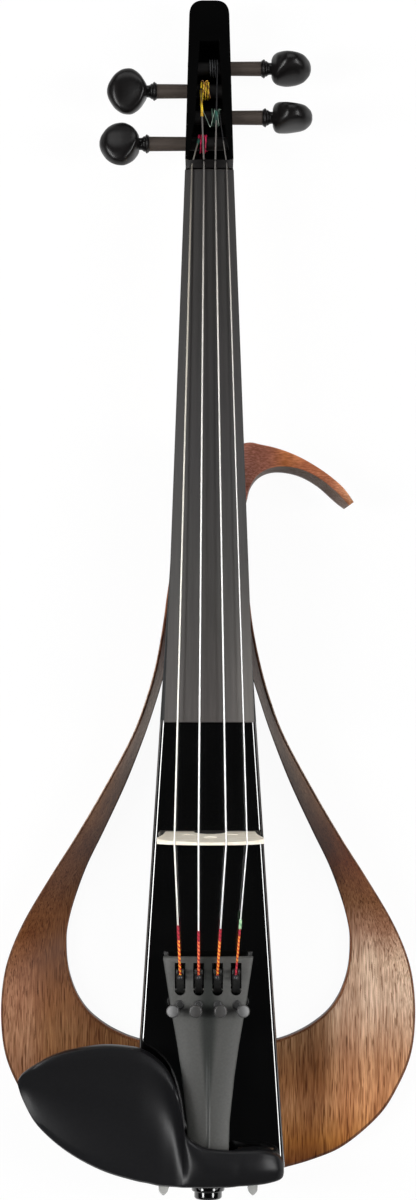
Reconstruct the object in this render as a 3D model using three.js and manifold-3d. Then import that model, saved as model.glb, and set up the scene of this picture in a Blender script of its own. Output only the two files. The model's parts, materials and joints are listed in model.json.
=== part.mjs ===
import * as THREE from 'three';
import { mergeVertices } from 'three/addons/utils/BufferGeometryUtils.js';
import Module from 'manifold-3d';

// Electric violin with a wedge shaped body core inside an open wooden frame.
// Millimetres. X points to the treble side, Y to the pegs and Z to the strings.
// The violin lies on its back on the plane z = 0, and the origin is under its tail block.

const wasm = await Module();
wasm.setup();

// Clearances and tool sizes
const clearance = 0.3;
const overrun = 3;
const weldTolerance = 0.0005;

// Playing geometry
const stringLength = 325.4;
const bridgeY = 134.6;
const nutY = bridgeY + stringLength;
const neckAngle = THREE.MathUtils.degToRad(2.6);
const headAngle = THREE.MathUtils.degToRad(9.9);
const boardEdgeAtNutZ = 45.75;
const neckOffsetX = 0.6;
const bridgeStringZ = 72.6;
const bridgeArchRadius = 44;
const bridgeArchX = 1.3;
const bassLean = 0.5;

// Body core
const coreBackZ = 9.3;
const coreTopZ = 40;
const coreTailY = -36;
const coreTailBulge = 8.5;
const coreTailHalf = 37.6;
const coreHeelY = 325;
const coreHeelHalf = 14.9;
const coreBevel = 2.2;
const coreHeelBackZ = 22;
const coreRiseStartY = 150;
const coreRiseEndY = 198;

// Wooden frame
const frameHalfWidth = 103;
const frameLength = 370;
const frameTailY = -37;
const frameThickness = coreBackZ - clearance;
const frameHeight = 29;
const frameStrip = 1.4;
const frameSeamX = 33;
const frameStepsPerStation = 3;
const strandStations = 7;
const tailBlockTailY = -19.7;
const tailBlockHeadY = 33;

// Fingerboard, nut and neck, in the neck's own tilted frame
const boardLength = 269.5;
const boardHalfAtNut = 11.9;
const boardHalfAtEnd = 21.8;
const boardEdge = 5;
const boardCrownRadius = 42;
const boardSegments = 12;
const boardScoop = 2.4;
const nutLength = 4;
const nutRise = 1.2;
const neckTongueY = -200;
const neckSegments = 10;
const neckTopZ = -boardEdge - clearance;
const neckDepthAtHeel = 25;

// Pegbox
const headLength = 82.6;
const headHalfAtNut = 11.8;
const headHalfAtTip = 9.9;
const headTopZ = 0.5;
const headDepth = 23;
const pegboxFloorAtNut = 18.2;
const pegboxFloorAtTip = 13.8;
const pegboxTipGap = 11.1;

// Tuning pegs
const pegShaftRadius = 3.6;
const pegTipRadius = 3.3;
const pegReach = 14.9;
const pegCollarRadius = 4.7;
const pegCollarLength = 5.1;
const pegNeckRadius = 3;
const pegHeadLength = 19.5;
const pegHeadHeight = 23;
const pegHeadThickness = 12;
const pegSides = 16;
const pegHeadSides = 14;

// Strings and their windings
const stringSides = 8;
const gStringRadius = 0.4;
const dStringRadius = 0.4;
const aStringRadius = 0.38;
const eStringRadius = 0.3;
const nutSpread = 8.5;
const windingTubeRadius = 0.375;
const windingPitch = 1.2;
const windingLoops = 3.5;
const windingSteps = 18;
const windingSides = 6;
const windingLead = 2 * windingTubeRadius;
const ballRadius = 1.5;

// Bridge and pickup strip
const bridgeHalfWidth = 25.8;
const bridgeHeight = 31.4;
const bridgeFootThickness = 4.5;
const bridgeTopThickness = 1.4;
const bridgeOffsetX = 1.1;
const bridgeHeartRadius = 3.2;
const bridgeKidneyLength = 5.6;
const bridgeKidneyHeight = 2.6;
const pickupHalfWidth = 24.5;
const pickupDepth = 5.2;
const pickupThickness = 1.4;
const pickupSeatDepth = 1.1;

// Tailpiece, its levers and screws
const tailpieceHeadY = 77;
const tailpieceLength = 108;
const tailpieceHalf = 21.8;
const tailpieceHeadZ = 55.5;
const tailpieceTailZ = 50;
const tailpieceThickness = 9;
const tailpieceWall = 1.6;
const tailpieceSlotWidth = 5.2;
const tailpieceSlotHeadY = 74;
const tailpieceSlotTailY = 58;
const tailpieceEdgeRound = 1.4;
const leverOuterX = 13.6;
const leverInnerX = 4.6;
const leverWidth = 3.8;
const leverPivotY = 60;
const leverPivotZ = 48.4;
const leverBossRadius = 2.5;
const leverForkY = 70;
const leverForkZ = 57.2;
const leverForkThickness = 2.2;
const leverArmThickness = 2.2;
const leverArmEndY = 48.6;
const axleRadius = 0.9;
const axleHalfLength = 17.6;
const screwY = 51.2;
const screwRadius = 1.1;
const screwFootZ = 47.3;
const screwLength = 12.6;
const screwOuterLean = THREE.MathUtils.degToRad(15);
const screwInnerLean = THREE.MathUtils.degToRad(6);
const knobRadius = 3.2;
const knobHeight = 3.6;
const knobCollarRadius = 2.3;
const knobCollarHeight = 1.2;

// Tail cord, saddle and end button
const cordRadius = 0.9;
const cordSpread = 4;
const cordSeatDepth = 6;
const cordSteps = 40;
const leadSteps = 14;
const saddleHalf = 12.5;
const saddleTopZ = 44;
const saddleEdgeRadius = 2.4;
const saddleHeadY = -30;
const buttonZ = 24;
const buttonShankRadius = 3.8;
const buttonShankLength = 14;
const buttonNeckRadius = 4.2;
const buttonNeckLength = 3;
const buttonCollarRadius = 8.2;
const buttonCollarLength = 2.8;
const buttonHeadRadius = 6.9;
const buttonHeadLength = 4.7;
const buttonSides = 28;

// Chin rest and its clamp
const corkThickness = 2;
const chinReachLeft = 93;
const chinReachRight = 37;
const chinLowY = -35.5;
const chinDepth = 69.3;
const chinHeight = 18;
const chinUnderZ = coreTopZ + corkThickness + 2 * clearance;
const chinEdgeRound = 1.2;
const chinStepsPerStation = 2;
const corkHeadY = -18;
const corkTailY = -30.5;
const corkInnerX = 14.5;
const corkOuterX = 32;
const clampX = 21.8;
const clampY = -38;
const bracketHalfWidth = 2.6;
const bracketThickness = 1.8;
const bracketHeadY = -24;
const postRadius = 1.5;
const postLength = 17;
const barrelRadius = 2.6;
const barrelLength = 22;
const barrelBottomZ = 13.5;
const footThickness = 1.8;
const footCorkThickness = 2.4;
const footHeadY = -22;

// Electronics in the back of the core
const cavityTailY = 50;
const cavityHeadY = 146;
const cavityHalf = 15;
const cavityTopZ = 33.5;
const coverTailY = 42;
const coverHeadY = 153;
const coverHalf = 20;
const coverThickness = 2;
const coverScrewInset = 4;
const coverScrewMargin = 1;
const coverScrewRadius = 1.2;
const coverScrewHeadRadius = 2.3;
const coverScrewHeadHeight = 1;
const coverScrewLength = 8;
const potY = 125;
const potBodyRadius = 8.2;
const potBodyHeight = 9.4;
const potShaftRadius = 3;
const potShaftEndZ = 5;
const knobCapRadius = 8.5;
const knobCapBottomZ = 2.2;
const knobCapEdge = 0.6;
const jackY = 80;
const jackBoreRadius = 3.2;
const jackBushRadius = 4.4;
const jackBodyRadius = 6.5;
const jackBottomZ = 6.2;
const jackTopZ = 32;
const jackEndWall = 1.5;
const jackNutRadius = 6.6;
const jackNutHeight = 2;
const leadRadius = 0.8;
const leadHoleRadius = 1.3;
const roundSides = 20;
const smallSides = 12;

// Looks of the pieces
const looks = {
  walnut: { color: 0x7a5540, roughness: 0.55, metalness: 0 },
  glossBlack: { color: 0x080808, roughness: 0.08, metalness: 0 },
  maple: { color: 0xd9c6a0, roughness: 0.5, metalness: 0 },
  board: { color: 0x3a3938, roughness: 0.5, metalness: 0 },
  ebony: { color: 0x141312, roughness: 0.4, metalness: 0 },
  satinBlack: { color: 0x1a1a1c, roughness: 0.5, metalness: 0 },
  tailGrey: { color: 0x3c3c3c, roughness: 0.55, metalness: 0 },
  steel: { color: 0xc9c9c6, roughness: 0.3, metalness: 1 },
  goldString: { color: 0xd8cf9a, roughness: 0.35, metalness: 0.6 },
  chrome: { color: 0xd8d8d8, roughness: 0.15, metalness: 1 },
  cork: { color: 0xa97f4f, roughness: 0.9, metalness: 0 },
  crimson: { color: 0xb01238, roughness: 0.8, metalness: 0 },
  yellow: { color: 0xe0b81c, roughness: 0.8, metalness: 0 },
  green: { color: 0x2f8a5c, roughness: 0.8, metalness: 0 },
  darkSilk: { color: 0x2a2a2e, roughness: 0.8, metalness: 0 },
  cord: { color: 0x161616, roughness: 0.6, metalness: 0 },
  film: { color: 0xb98b3a, roughness: 0.4, metalness: 0.4 },
};

const violin = new THREE.Group();
violin.name = 'electric_violin';
const axisX = new THREE.Vector3(1, 0, 0);
const axisY = new THREE.Vector3(0, 1, 0);
const axisZ = new THREE.Vector3(0, 0, 1);

// Helpers

function addPiece(parent, name, geometry, look, position = new THREE.Vector3()) {
  const mesh = new THREE.Mesh(geometry, new THREE.MeshStandardMaterial(look));
  mesh.name = name;
  mesh.position.copy(position);
  parent.add(mesh);
  return mesh;
}

function mix(from, to, share) {
  return from + (to - from) * share;
}

// The same surface with merged vertices, no collapsed triangles, and its faces pointing out.
function closed(geometry) {
  const bare = geometry.clone();
  bare.deleteAttribute('normal');
  bare.deleteAttribute('uv');
  const merged = mergeVertices(bare, weldTolerance);
  const corners = merged.index.array;
  const point = merged.getAttribute('position');
  const kept = [];
  const a = new THREE.Vector3();
  const b = new THREE.Vector3();
  const c = new THREE.Vector3();
  let volume = 0;
  for (let i = 0; i < corners.length; i += 3) {
    const [p, q, r] = [corners[i], corners[i + 1], corners[i + 2]];
    if (p === q || q === r || r === p) continue;
    kept.push(p, q, r);
    a.fromBufferAttribute(point, p);
    b.fromBufferAttribute(point, q);
    c.fromBufferAttribute(point, r);
    volume += a.dot(b.cross(c));
  }
  if (volume < 0) kept.reverse();
  merged.setIndex(kept);
  merged.computeVertexNormals();
  return merged;
}

function solidOf(geometry) {
  const tidy = closed(geometry);
  return new wasm.Manifold(new wasm.Mesh({
    numProp: 3,
    vertProperties: tidy.attributes.position.array,
    triVerts: new Uint32Array(tidy.index.array),
  }));
}

function geometryOf(solid) {
  const mesh = solid.getMesh();
  const geometry = new THREE.BufferGeometry();
  geometry.setAttribute('position', new THREE.BufferAttribute(mesh.vertProperties, 3));
  geometry.setIndex(new THREE.BufferAttribute(mesh.triVerts, 1));
  geometry.computeVertexNormals();
  return geometry;
}

function cut(base, ...tools) {
  return geometryOf(tools.reduce((solid, tool) => solid.subtract(solidOf(tool)), solidOf(base)));
}

function join(base, ...others) {
  return geometryOf(others.reduce((solid, other) => solid.add(solidOf(other)), solidOf(base)));
}

function common(base, other) {
  return geometryOf(solidOf(base).intersect(solidOf(other)));
}

function shapeOf(outline) {
  return new THREE.Shape(outline.map(([u, v]) => new THREE.Vector2(u, v)));
}

// A prism with a (y, z) outline between two values of X.
function prismAlongX(outline, fromX, toX) {
  const prism = new THREE.ExtrudeGeometry(shapeOf(outline), { depth: toX - fromX, bevelEnabled: false });
  prism.applyMatrix4(new THREE.Matrix4().makeBasis(axisY, axisZ, axisX));
  return prism.translate(fromX, 0, 0);
}

// A prism with an (x, z) shape between two values of Y.
function prismAlongY(shape, fromY, toY) {
  const prism = new THREE.ExtrudeGeometry(shape, { depth: toY - fromY, bevelEnabled: false });
  prism.applyMatrix4(new THREE.Matrix4().makeBasis(axisX, axisZ, axisY.clone().negate()));
  return prism.translate(0, toY, 0);
}

// A prism with an (x, y) shape between two values of Z.
function prismAlongZ(shape, fromZ, toZ) {
  const prism = new THREE.ExtrudeGeometry(shape, { depth: toZ - fromZ, bevelEnabled: false });
  return prism.translate(0, 0, fromZ);
}

function boxBetween(low, high) {
  const [x, y, z] = low.map((value, i) => high[i] - value);
  const box = new THREE.BoxGeometry(x, y, z);
  return box.translate((low[0] + high[0]) / 2, (low[1] + high[1]) / 2, (low[2] + high[2]) / 2);
}

function rodBetween(from, to, radius, sides = roundSides, toRadius = radius) {
  const span = to.clone().sub(from);
  const rod = new THREE.CylinderGeometry(toRadius, radius, span.length(), sides);
  rod.applyQuaternion(new THREE.Quaternion().setFromUnitVectors(axisY, span.normalize()));
  const middle = from.clone().add(to).multiplyScalar(0.5);
  return rod.translate(middle.x, middle.y, middle.z);
}

// A turned solid. The profile holds [radius, place along the axis] and starts and ends on the axis.
function turned(profile, axis, sides = roundSides) {
  const points = profile.map(([radius, along]) => new THREE.Vector2(radius, along));
  const lathe = closed(new THREE.LatheGeometry(points, sides));
  return lathe.applyQuaternion(new THREE.Quaternion().setFromUnitVectors(axisY, axis));
}

// A closed solid through rings of equal point count, with a fan on each end.
function loft(rings) {
  const count = rings[0].length;
  const points = rings.flat();
  const index = [];
  for (let r = 0; r + 1 < rings.length; r += 1) {
    for (let i = 0; i < count; i += 1) {
      const a = r * count + i;
      const b = r * count + ((i + 1) % count);
      index.push(a, b, a + count, b, b + count, a + count);
    }
  }
  [0, rings.length - 1].forEach((r) => {
    const centre = rings[r].reduce((sum, p) => sum.add(p), new THREE.Vector3()).divideScalar(count);
    const hub = points.push(centre) - 1;
    for (let i = 0; i < count; i += 1) {
      const a = r * count + i;
      const b = r * count + ((i + 1) % count);
      if (r === 0) index.push(hub, b, a);
      else index.push(hub, a, b);
    }
  });
  const geometry = new THREE.BufferGeometry().setFromPoints(points);
  geometry.setIndex(index);
  return closed(geometry);
}

// A round tube through the points of a bent wire, with a mitred ring at each bend.
function wire(points, radius, sides = stringSides) {
  const rings = points.map((point, i) => {
    const before = points[Math.max(i - 1, 0)];
    const after = points[Math.min(i + 1, points.length - 1)];
    const into = point.clone().sub(before).normalize();
    const out = after.clone().sub(point).normalize();
    const along = into.add(out).normalize();
    const side = axisX.clone().cross(along).normalize();
    const flank = along.clone().cross(side);
    return Array.from({ length: sides }, (_, k) => {
      const turn = (2 * Math.PI * k) / sides;
      return point.clone()
        .addScaledVector(side, radius * Math.cos(turn))
        .addScaledVector(flank, radius * Math.sin(turn));
    });
  });
  return loft(rings);
}

function tubeAlong(curve, radius, sides, steps) {
  const section = Array.from({ length: sides }, (_, k) => {
    const turn = (2 * Math.PI * k) / sides;
    return [radius * Math.cos(turn), radius * Math.sin(turn)];
  });
  return new THREE.ExtrudeGeometry(shapeOf(section), { steps, extrudePath: curve, bevelEnabled: false });
}

// Smooth samples of a table whose rows hold equally many values.
function smoothRows(table, stepsPerRow) {
  const width = table[0].length;
  const tracks = Array.from({ length: width }, (_, c) => new THREE.SplineCurve(
    table.map((row, i) => new THREE.Vector2(i, row[c])),
  ));
  const steps = (table.length - 1) * stepsPerRow;
  return Array.from({ length: steps + 1 }, (_, s) => tracks.map((track) => track.getPoint(s / steps).y));
}

// Frame arms. Each row gives a station of the band, from the tail block to the neck heel:
// outer x, outer y, inner x, inner y, rise of the outer edge, height of the inner edge, lip, back of
// the inner edge, back of the outer edge, slant of the inner wall and foot width.
const armShares = [
  [0.322, 0.007, 0.322, 0.181, 0, 1, 0.85, 0, 0, 0.02, 0.5],
  [0.5, 0.021, 0.398, 0.188, 0, 1, 0.85, 0, 0, 0.02, 0.5],
  [0.66, 0.041, 0.49, 0.201, 0.03, 0.96, 0.85, 0, 0, 0.02, 0.5],
  [0.83, 0.082, 0.573, 0.219, 0.05, 0.9, 0.85, 0, 0.04, 0.02, 0.5],
  [0.922, 0.123, 0.627, 0.239, 0.1, 0.8, 0.85, 0, 0.1, 0.03, 0.5],
  [0.98, 0.164, 0.661, 0.2605, 0.16, 0.68, 0.85, 0, 0.2, 0.03, 0.48],
  [1, 0.211, 0.681, 0.283, 0.24, 0.56, 0.85, 0, 0.31, 0.03, 0.46],
  [0.991, 0.259, 0.688, 0.309, 0.34, 0.45, 0.85, 0, 0.44, 0.04, 0.44],
  [0.957, 0.3, 0.683, 0.333, 0.47, 0.36, 0.85, 0, 0.55, 0.04, 0.42],
  [0.883, 0.347, 0.652, 0.368, 0.6, 0.27, 0.8, 0, 0.65, 0.05, 0.42],
  [0.766, 0.402, 0.589, 0.416, 0.71, 0.2, 0.8, 0, 0.7, 0.05, 0.45],
  [0.63, 0.462, 0.502, 0.466, 0.83, 0.15, 0.75, 0, 0.7, 0.06, 0.52],
  [0.49, 0.529, 0.397, 0.529, 0.93, 0.12, 0.75, 0, 0.65, 0.08, 0.6],
  [0.364, 0.595, 0.307, 0.593, 1, 0.11, 0.7, 0, 0.6, 0.1, 0.75],
  [0.295, 0.646, 0.248, 0.642, 0.97, 0.11, 0.7, 0, 0.57, 0.1, 0.85],
  [0.25, 0.692, 0.202, 0.684, 0.76, 0.13, 0.7, 0, 0.55, 0.1, 0.85],
];
const rightEndShares = [
  [0.217, 0.738, 0.17, 0.727, 0.6, 0.17, 0.7, 0, 0.5, 0.08, 0.8],
  [0.195, 0.786, 0.131, 0.776, 0.58, 0.2, 0.7, 0, 0.5, 0.06, 0.7],
  [0.168, 0.836, 0.082, 0.823, 0.58, 0.26, 0.7, 0.02, 0.5, 0.05, 0.65],
  [0.118, 0.888, -0.02, 0.86, 0.58, 0.32, 0.7, 0.04, 0.5, 0.05, 0.6],
];
// The left arm goes on behind the neck and turns into the shoulder hook. Its x is already signed
// for the left arm's mirrored side, so the hook's stations are negative.
const hookShares = [
  [0.218, 0.742, 0.142, 0.726, 0.6, 0.17, 0.7, 0, 0.5, 0.08, 0.8],
  [0.196, 0.786, 0.083, 0.762, 0.58, 0.2, 0.7, 0, 0.5, 0.06, 0.7],
  [0.165, 0.836, 0.01, 0.799, 0.58, 0.28, 0.7, 0.03, 0.48, 0.05, 0.6],
  [0.116, 0.883, -0.068, 0.835, 0.59, 0.42, 0.7, 0.1, 0.48, 0.04, 0.55],
  [0.044, 0.93, -0.136, 0.871, 0.59, 0.57, 0.7, 0.2, 0.48, 0.03, 0.5],
  [-0.053, 0.969, -0.182, 0.904, 0.6, 0.74, 0.65, 0.32, 0.52, 0.03, 0.5],
  [-0.178, 0.9856, -0.203, 0.925, 0.66, 0.89, 0.6, 0.42, 0.55, 0.05, 0.5],
  [-0.26, 0.983, -0.242, 0.939, 0.76, 0.95, 0.55, 0.48, 0.56, 0.12, 0.6],
  [-0.341, 0.9773, -0.3, 0.946, 0.85, 0.97, 0.5, 0.5, 0.58, 0.22, 0.7],
  [-0.422, 0.9685, -0.372, 0.946, 0.92, 0.97, 0.5, 0.5, 0.58, 0.35, 0.8],
  [-0.494, 0.9577, -0.45, 0.94, 0.98, 0.97, 0.5, 0.5, 0.58, 0.45, 0.8],
  [-0.566, 0.9445, -0.527, 0.9275, 1.02, 0.97, 0.5, 0.5, 0.58, 0.5, 0.8],
  [-0.628, 0.9304, -0.594, 0.911, 1.05, 0.97, 0.5, 0.5, 0.58, 0.52, 0.8],
  [-0.664, 0.9194, -0.623, 0.904, 1.05, 0.96, 0.5, 0.51, 0.6, 0.52, 0.8],
  [-0.697, 0.906, -0.655, 0.8975, 1.04, 0.95, 0.5, 0.52, 0.62, 0.5, 0.8],
];

function bandRing(row, side) {
  const [outerX, outerY, innerX, innerY, rise, inner, lip, back, outerBack, slant, foot] = row;
  const outer = new THREE.Vector3(side * outerX * frameHalfWidth, frameTailY + outerY * frameLength, 0);
  const innerEdge = new THREE.Vector3(side * innerX * frameHalfWidth, frameTailY + innerY * frameLength, 0);
  const width = outer.distanceTo(innerEdge);
  const topZ = mix(frameThickness, frameHeight, rise);
  const innerZ = topZ * inner;
  const backZ = Math.max(topZ * back, 0);
  const profile = [
    [0, topZ],
    [frameStrip, topZ],
    [width * (1 - slant), innerZ],
    [width, mix(backZ, innerZ, lip)],
    [width, backZ],
    [width * (1 - foot), backZ],
    [0, Math.max(topZ * outerBack, 0)],
  ];
  return profile.map(([inward, z]) => outer.clone().lerp(innerEdge, inward / width).setZ(z));
}

// The upright room that the left strand takes, with the joint's gap, which the right arm ends against.
function strandRing(row, side) {
  const [outerX, outerY, innerX, innerY] = row;
  const outer = new THREE.Vector3(side * outerX * frameHalfWidth, frameTailY + outerY * frameLength, 0);
  const innerEdge = new THREE.Vector3(side * innerX * frameHalfWidth, frameTailY + innerY * frameLength, 0);
  const edge = outer.clone().lerp(innerEdge, 1 + clearance / outer.distanceTo(innerEdge));
  return [
    outer.clone().setZ(frameHeight + overrun),
    edge.clone().setZ(frameHeight + overrun),
    edge.clone().setZ(-overrun),
    outer.clone().setZ(-overrun),
  ];
}

function buildFrame() {
  const bandThrough = (rows, side) => loft(
    smoothRows(rows, frameStepsPerStation).map((row) => bandRing(row, side)),
  );
  const left = bandThrough([...armShares, ...hookShares], -1);
  const right = bandThrough([...armShares, ...rightEndShares], 1);
  const strandRows = smoothRows(hookShares.slice(0, strandStations), frameStepsPerStation);
  const strand = loft(strandRows.map((row) => strandRing(row, -1)));
  addPiece(violin, 'frame_left', left, looks.walnut);
  addPiece(violin, 'frame_right', cut(right, strand), looks.walnut);
  const blockHalf = armShares[0][0] * frameHalfWidth - clearance;
  const block = boxBetween([-blockHalf, tailBlockTailY, 0], [blockHalf, tailBlockHeadY, frameThickness]);
  addPiece(violin, 'tail_block', block, looks.walnut);
}

// Body core

function buildCore() {
  const cornerY = coreTailY + coreTailBulge;
  const plan = new THREE.Shape();
  plan.moveTo(-coreTailHalf, cornerY);
  plan.quadraticCurveTo(0, cornerY - 2 * coreTailBulge, coreTailHalf, cornerY);
  plan.lineTo(coreHeelHalf, coreHeelY);
  plan.lineTo(-coreHeelHalf, coreHeelY);
  const slab = new THREE.ExtrudeGeometry(plan, {
    depth: coreTopZ - coreBackZ - 2 * coreBevel,
    bevelThickness: coreBevel,
    bevelSize: coreBevel,
    bevelOffset: -coreBevel,
    bevelSegments: 3,
    curveSegments: 16,
  }).translate(0, 0, coreBackZ + coreBevel);
  const backRise = prismAlongX([
    [coreRiseStartY, coreBackZ],
    [coreRiseEndY, coreHeelBackZ],
    [coreHeelY + overrun, coreHeelBackZ],
    [coreHeelY + overrun, coreBackZ - overrun],
    [coreRiseStartY, coreBackZ - overrun],
  ], -coreTailHalf, coreTailHalf);
  const cavity = boxBetween(
    [-cavityHalf, cavityTailY, coreBackZ - overrun],
    [cavityHalf, cavityHeadY, cavityTopZ],
  );
  const rebate = boxBetween(
    [-coverHalf - clearance, coverTailY - clearance, coreBackZ - overrun],
    [coverHalf + clearance, coverHeadY + clearance, coreBackZ + coverThickness + clearance],
  );
  const pickupSeat = boxBetween(
    [bridgeOffsetX - pickupHalfWidth - clearance, bridgeY - pickupDepth / 2 - clearance,
      coreTopZ - pickupSeatDepth],
    [bridgeOffsetX + pickupHalfWidth + clearance, bridgeY + pickupDepth / 2 + clearance,
      coreTopZ + overrun],
  );
  const leadHole = rodBetween(
    new THREE.Vector3(0, bridgeY, cavityTopZ - overrun),
    new THREE.Vector3(0, bridgeY, coreTopZ + overrun),
    leadHoleRadius,
  );
  const buttonHole = rodBetween(
    new THREE.Vector3(0, coreTailY - overrun, buttonZ),
    new THREE.Vector3(0, coreTailY + buttonShankLength + clearance, buttonZ),
    buttonShankRadius + clearance,
  );
  const screwHoles = coverScrewPlaces().map(([x, y]) => rodBetween(
    new THREE.Vector3(x, y, coreBackZ),
    new THREE.Vector3(x, y, coreBackZ + coverScrewLength),
    coverScrewRadius + clearance,
    smallSides,
  ));
  const core = cut(slab, backRise, cavity, rebate, pickupSeat, leadHole, buttonHole, ...screwHoles);
  addPiece(violin, 'body_core', core, looks.glossBlack);
}

// Neck, fingerboard and nut

const neckGroup = new THREE.Group();
neckGroup.position.set(neckOffsetX, nutY, boardEdgeAtNutZ);
neckGroup.rotation.x = -neckAngle;
violin.add(neckGroup);
const headGroup = new THREE.Group();
headGroup.position.set(0, nutLength + 3 * clearance, 0);
headGroup.rotation.x = -headAngle;
neckGroup.add(headGroup);
violin.updateMatrixWorld(true);

function boardHalfAt(y) {
  return mix(boardHalfAtNut, boardHalfAtEnd, -y / boardLength);
}

// How far an arch of some radius has dropped at some way out from its crown.
function archDrop(offset, radius) {
  return radius - Math.sqrt(radius ** 2 - offset ** 2);
}

// Height of the crowned board over its edge plane.
function crownAt(x, half) {
  return archDrop(half, boardCrownRadius) - archDrop(x, boardCrownRadius);
}

function boardRing(y, underside) {
  const half = boardHalfAt(y);
  const top = Array.from({ length: boardSegments + 1 }, (_, i) => {
    const x = mix(-half, half, i / boardSegments);
    return new THREE.Vector3(x, y, crownAt(x, half));
  });
  const scoopShares = [0.8, 0, -0.8];
  const under = scoopShares.map((share) => new THREE.Vector3(
    half * share,
    y,
    -boardEdge + underside * (1 - share ** 2),
  ));
  return [
    ...top,
    new THREE.Vector3(half, y, -boardEdge),
    ...under,
    new THREE.Vector3(-half, y, -boardEdge),
  ];
}

// Neck stations as shares of the distance from the nut to the tongue's end: place, half width as a
// share of the board's and depth as a share of the depth at the heel.
const neckShares = [
  [-0.022, 0.96, 0.67],
  [0.15, 0.96, 0.68],
  [0.35, 0.95, 0.7],
  [0.52, 0.94, 0.73],
  [0.6, 0.94, 0.82],
  [0.65, 0.94, 0.97],
  [0.68, 0.94, 1],
  [1, 0.7, 0.9],
];

function buildNeck() {
  const boardRings = [0, -boardLength / 2, neckTongueY, neckTongueY, -boardLength].map((y, i) => boardRing(
    i === 3 ? y - clearance : y,
    i < 3 ? 0 : boardScoop,
  ));
  addPiece(neckGroup, 'fingerboard', loft(boardRings), looks.board);

  const neckRings = neckShares.map(([place, widthShare, depthShare]) => {
    const y = neckTongueY * place;
    const half = boardHalfAt(Math.min(y, 0)) * widthShare;
    const depth = neckDepthAtHeel * depthShare + neckTopZ;
    const arc = Array.from({ length: neckSegments + 1 }, (_, i) => {
      const turn = (Math.PI * i) / neckSegments;
      return new THREE.Vector3(half * Math.cos(turn), y, neckTopZ - depth * Math.sin(turn) ** 0.8);
    });
    return arc;
  });
  const keepOut = boxBetween(
    [-coreTailHalf, 0, 0],
    [coreTailHalf, coreHeelY + clearance, coreTopZ + clearance],
  ).applyMatrix4(neckGroup.matrixWorld.clone().invert());
  addPiece(neckGroup, 'neck', cut(loft(neckRings), keepOut), looks.maple);

  const nutHalf = boardHalfAtNut - clearance;
  const nutShape = [[nutHalf, -boardEdge], [-nutHalf, -boardEdge]];
  for (let i = 0; i <= boardSegments; i += 1) {
    const x = mix(-nutHalf, nutHalf, i / boardSegments);
    nutShape.push([x, crownAt(x, boardHalfAtNut) + nutRise]);
  }
  const nutBlock = prismAlongY(shapeOf(nutShape), clearance, clearance + nutLength);
  const toNeck = neckGroup.matrixWorld.clone().invert();
  const grooves = strings.map((string) => stringTube(string, clearance).applyMatrix4(toNeck));
  addPiece(neckGroup, 'nut', cut(nutBlock, ...grooves), looks.ebony);
}

// Pegbox and pegs. Places along the pegbox and depths are shares of its length and depth.
// The share out is how far a peg stands out beyond the others, of their reach.

const pegs = [
  { name: 'g', side: -1, placeShare: 0.1435, depthShare: 0.457, outShare: 0.1, roll: -15, look: looks.crimson },
  { name: 'd', side: -1, placeShare: 0.468, depthShare: 0.391, outShare: 0, roll: 4, look: looks.yellow },
  { name: 'a', side: 1, placeShare: 0.608, depthShare: 0.365, outShare: 0, roll: 68.5, look: looks.darkSilk },
  { name: 'e', side: 1, placeShare: 0.305, depthShare: 0.426, outShare: 0, roll: 77.5, look: looks.green },
];
// Peg head stations: place along it, half height and half thickness.
const pegHeadShares = [
  [0, 0.26, 0.5], [0.04, 0.36, 0.74], [0.1, 0.55, 0.96], [0.18, 0.78, 1], [0.32, 0.95, 0.95],
  [0.47, 1, 0.88], [0.62, 0.95, 0.83], [0.77, 0.79, 0.78], [0.89, 0.55, 0.7], [0.97, 0.29, 0.5],
  [1, 0.1, 0.2],
];
// Winding places across the pegbox, as shares of its half width at the nut: first and last loop.
const windingShares = [
  [-0.075, -0.447],
  [0.027, -0.345],
  [-0.027, 0.345],
  [0.062, 0.434],
];

function headHalfAt(y) {
  return mix(headHalfAtNut, headHalfAtTip, y / headLength);
}

function pegCentre(peg) {
  return new THREE.Vector3(0, peg.placeShare * headLength, -peg.depthShare * headDepth);
}

// The pegbox slot ends beyond the last peg.
function pegboxSlotEnd() {
  return Math.max(...pegs.map((peg) => pegCentre(peg).y)) + pegboxTipGap;
}

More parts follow.
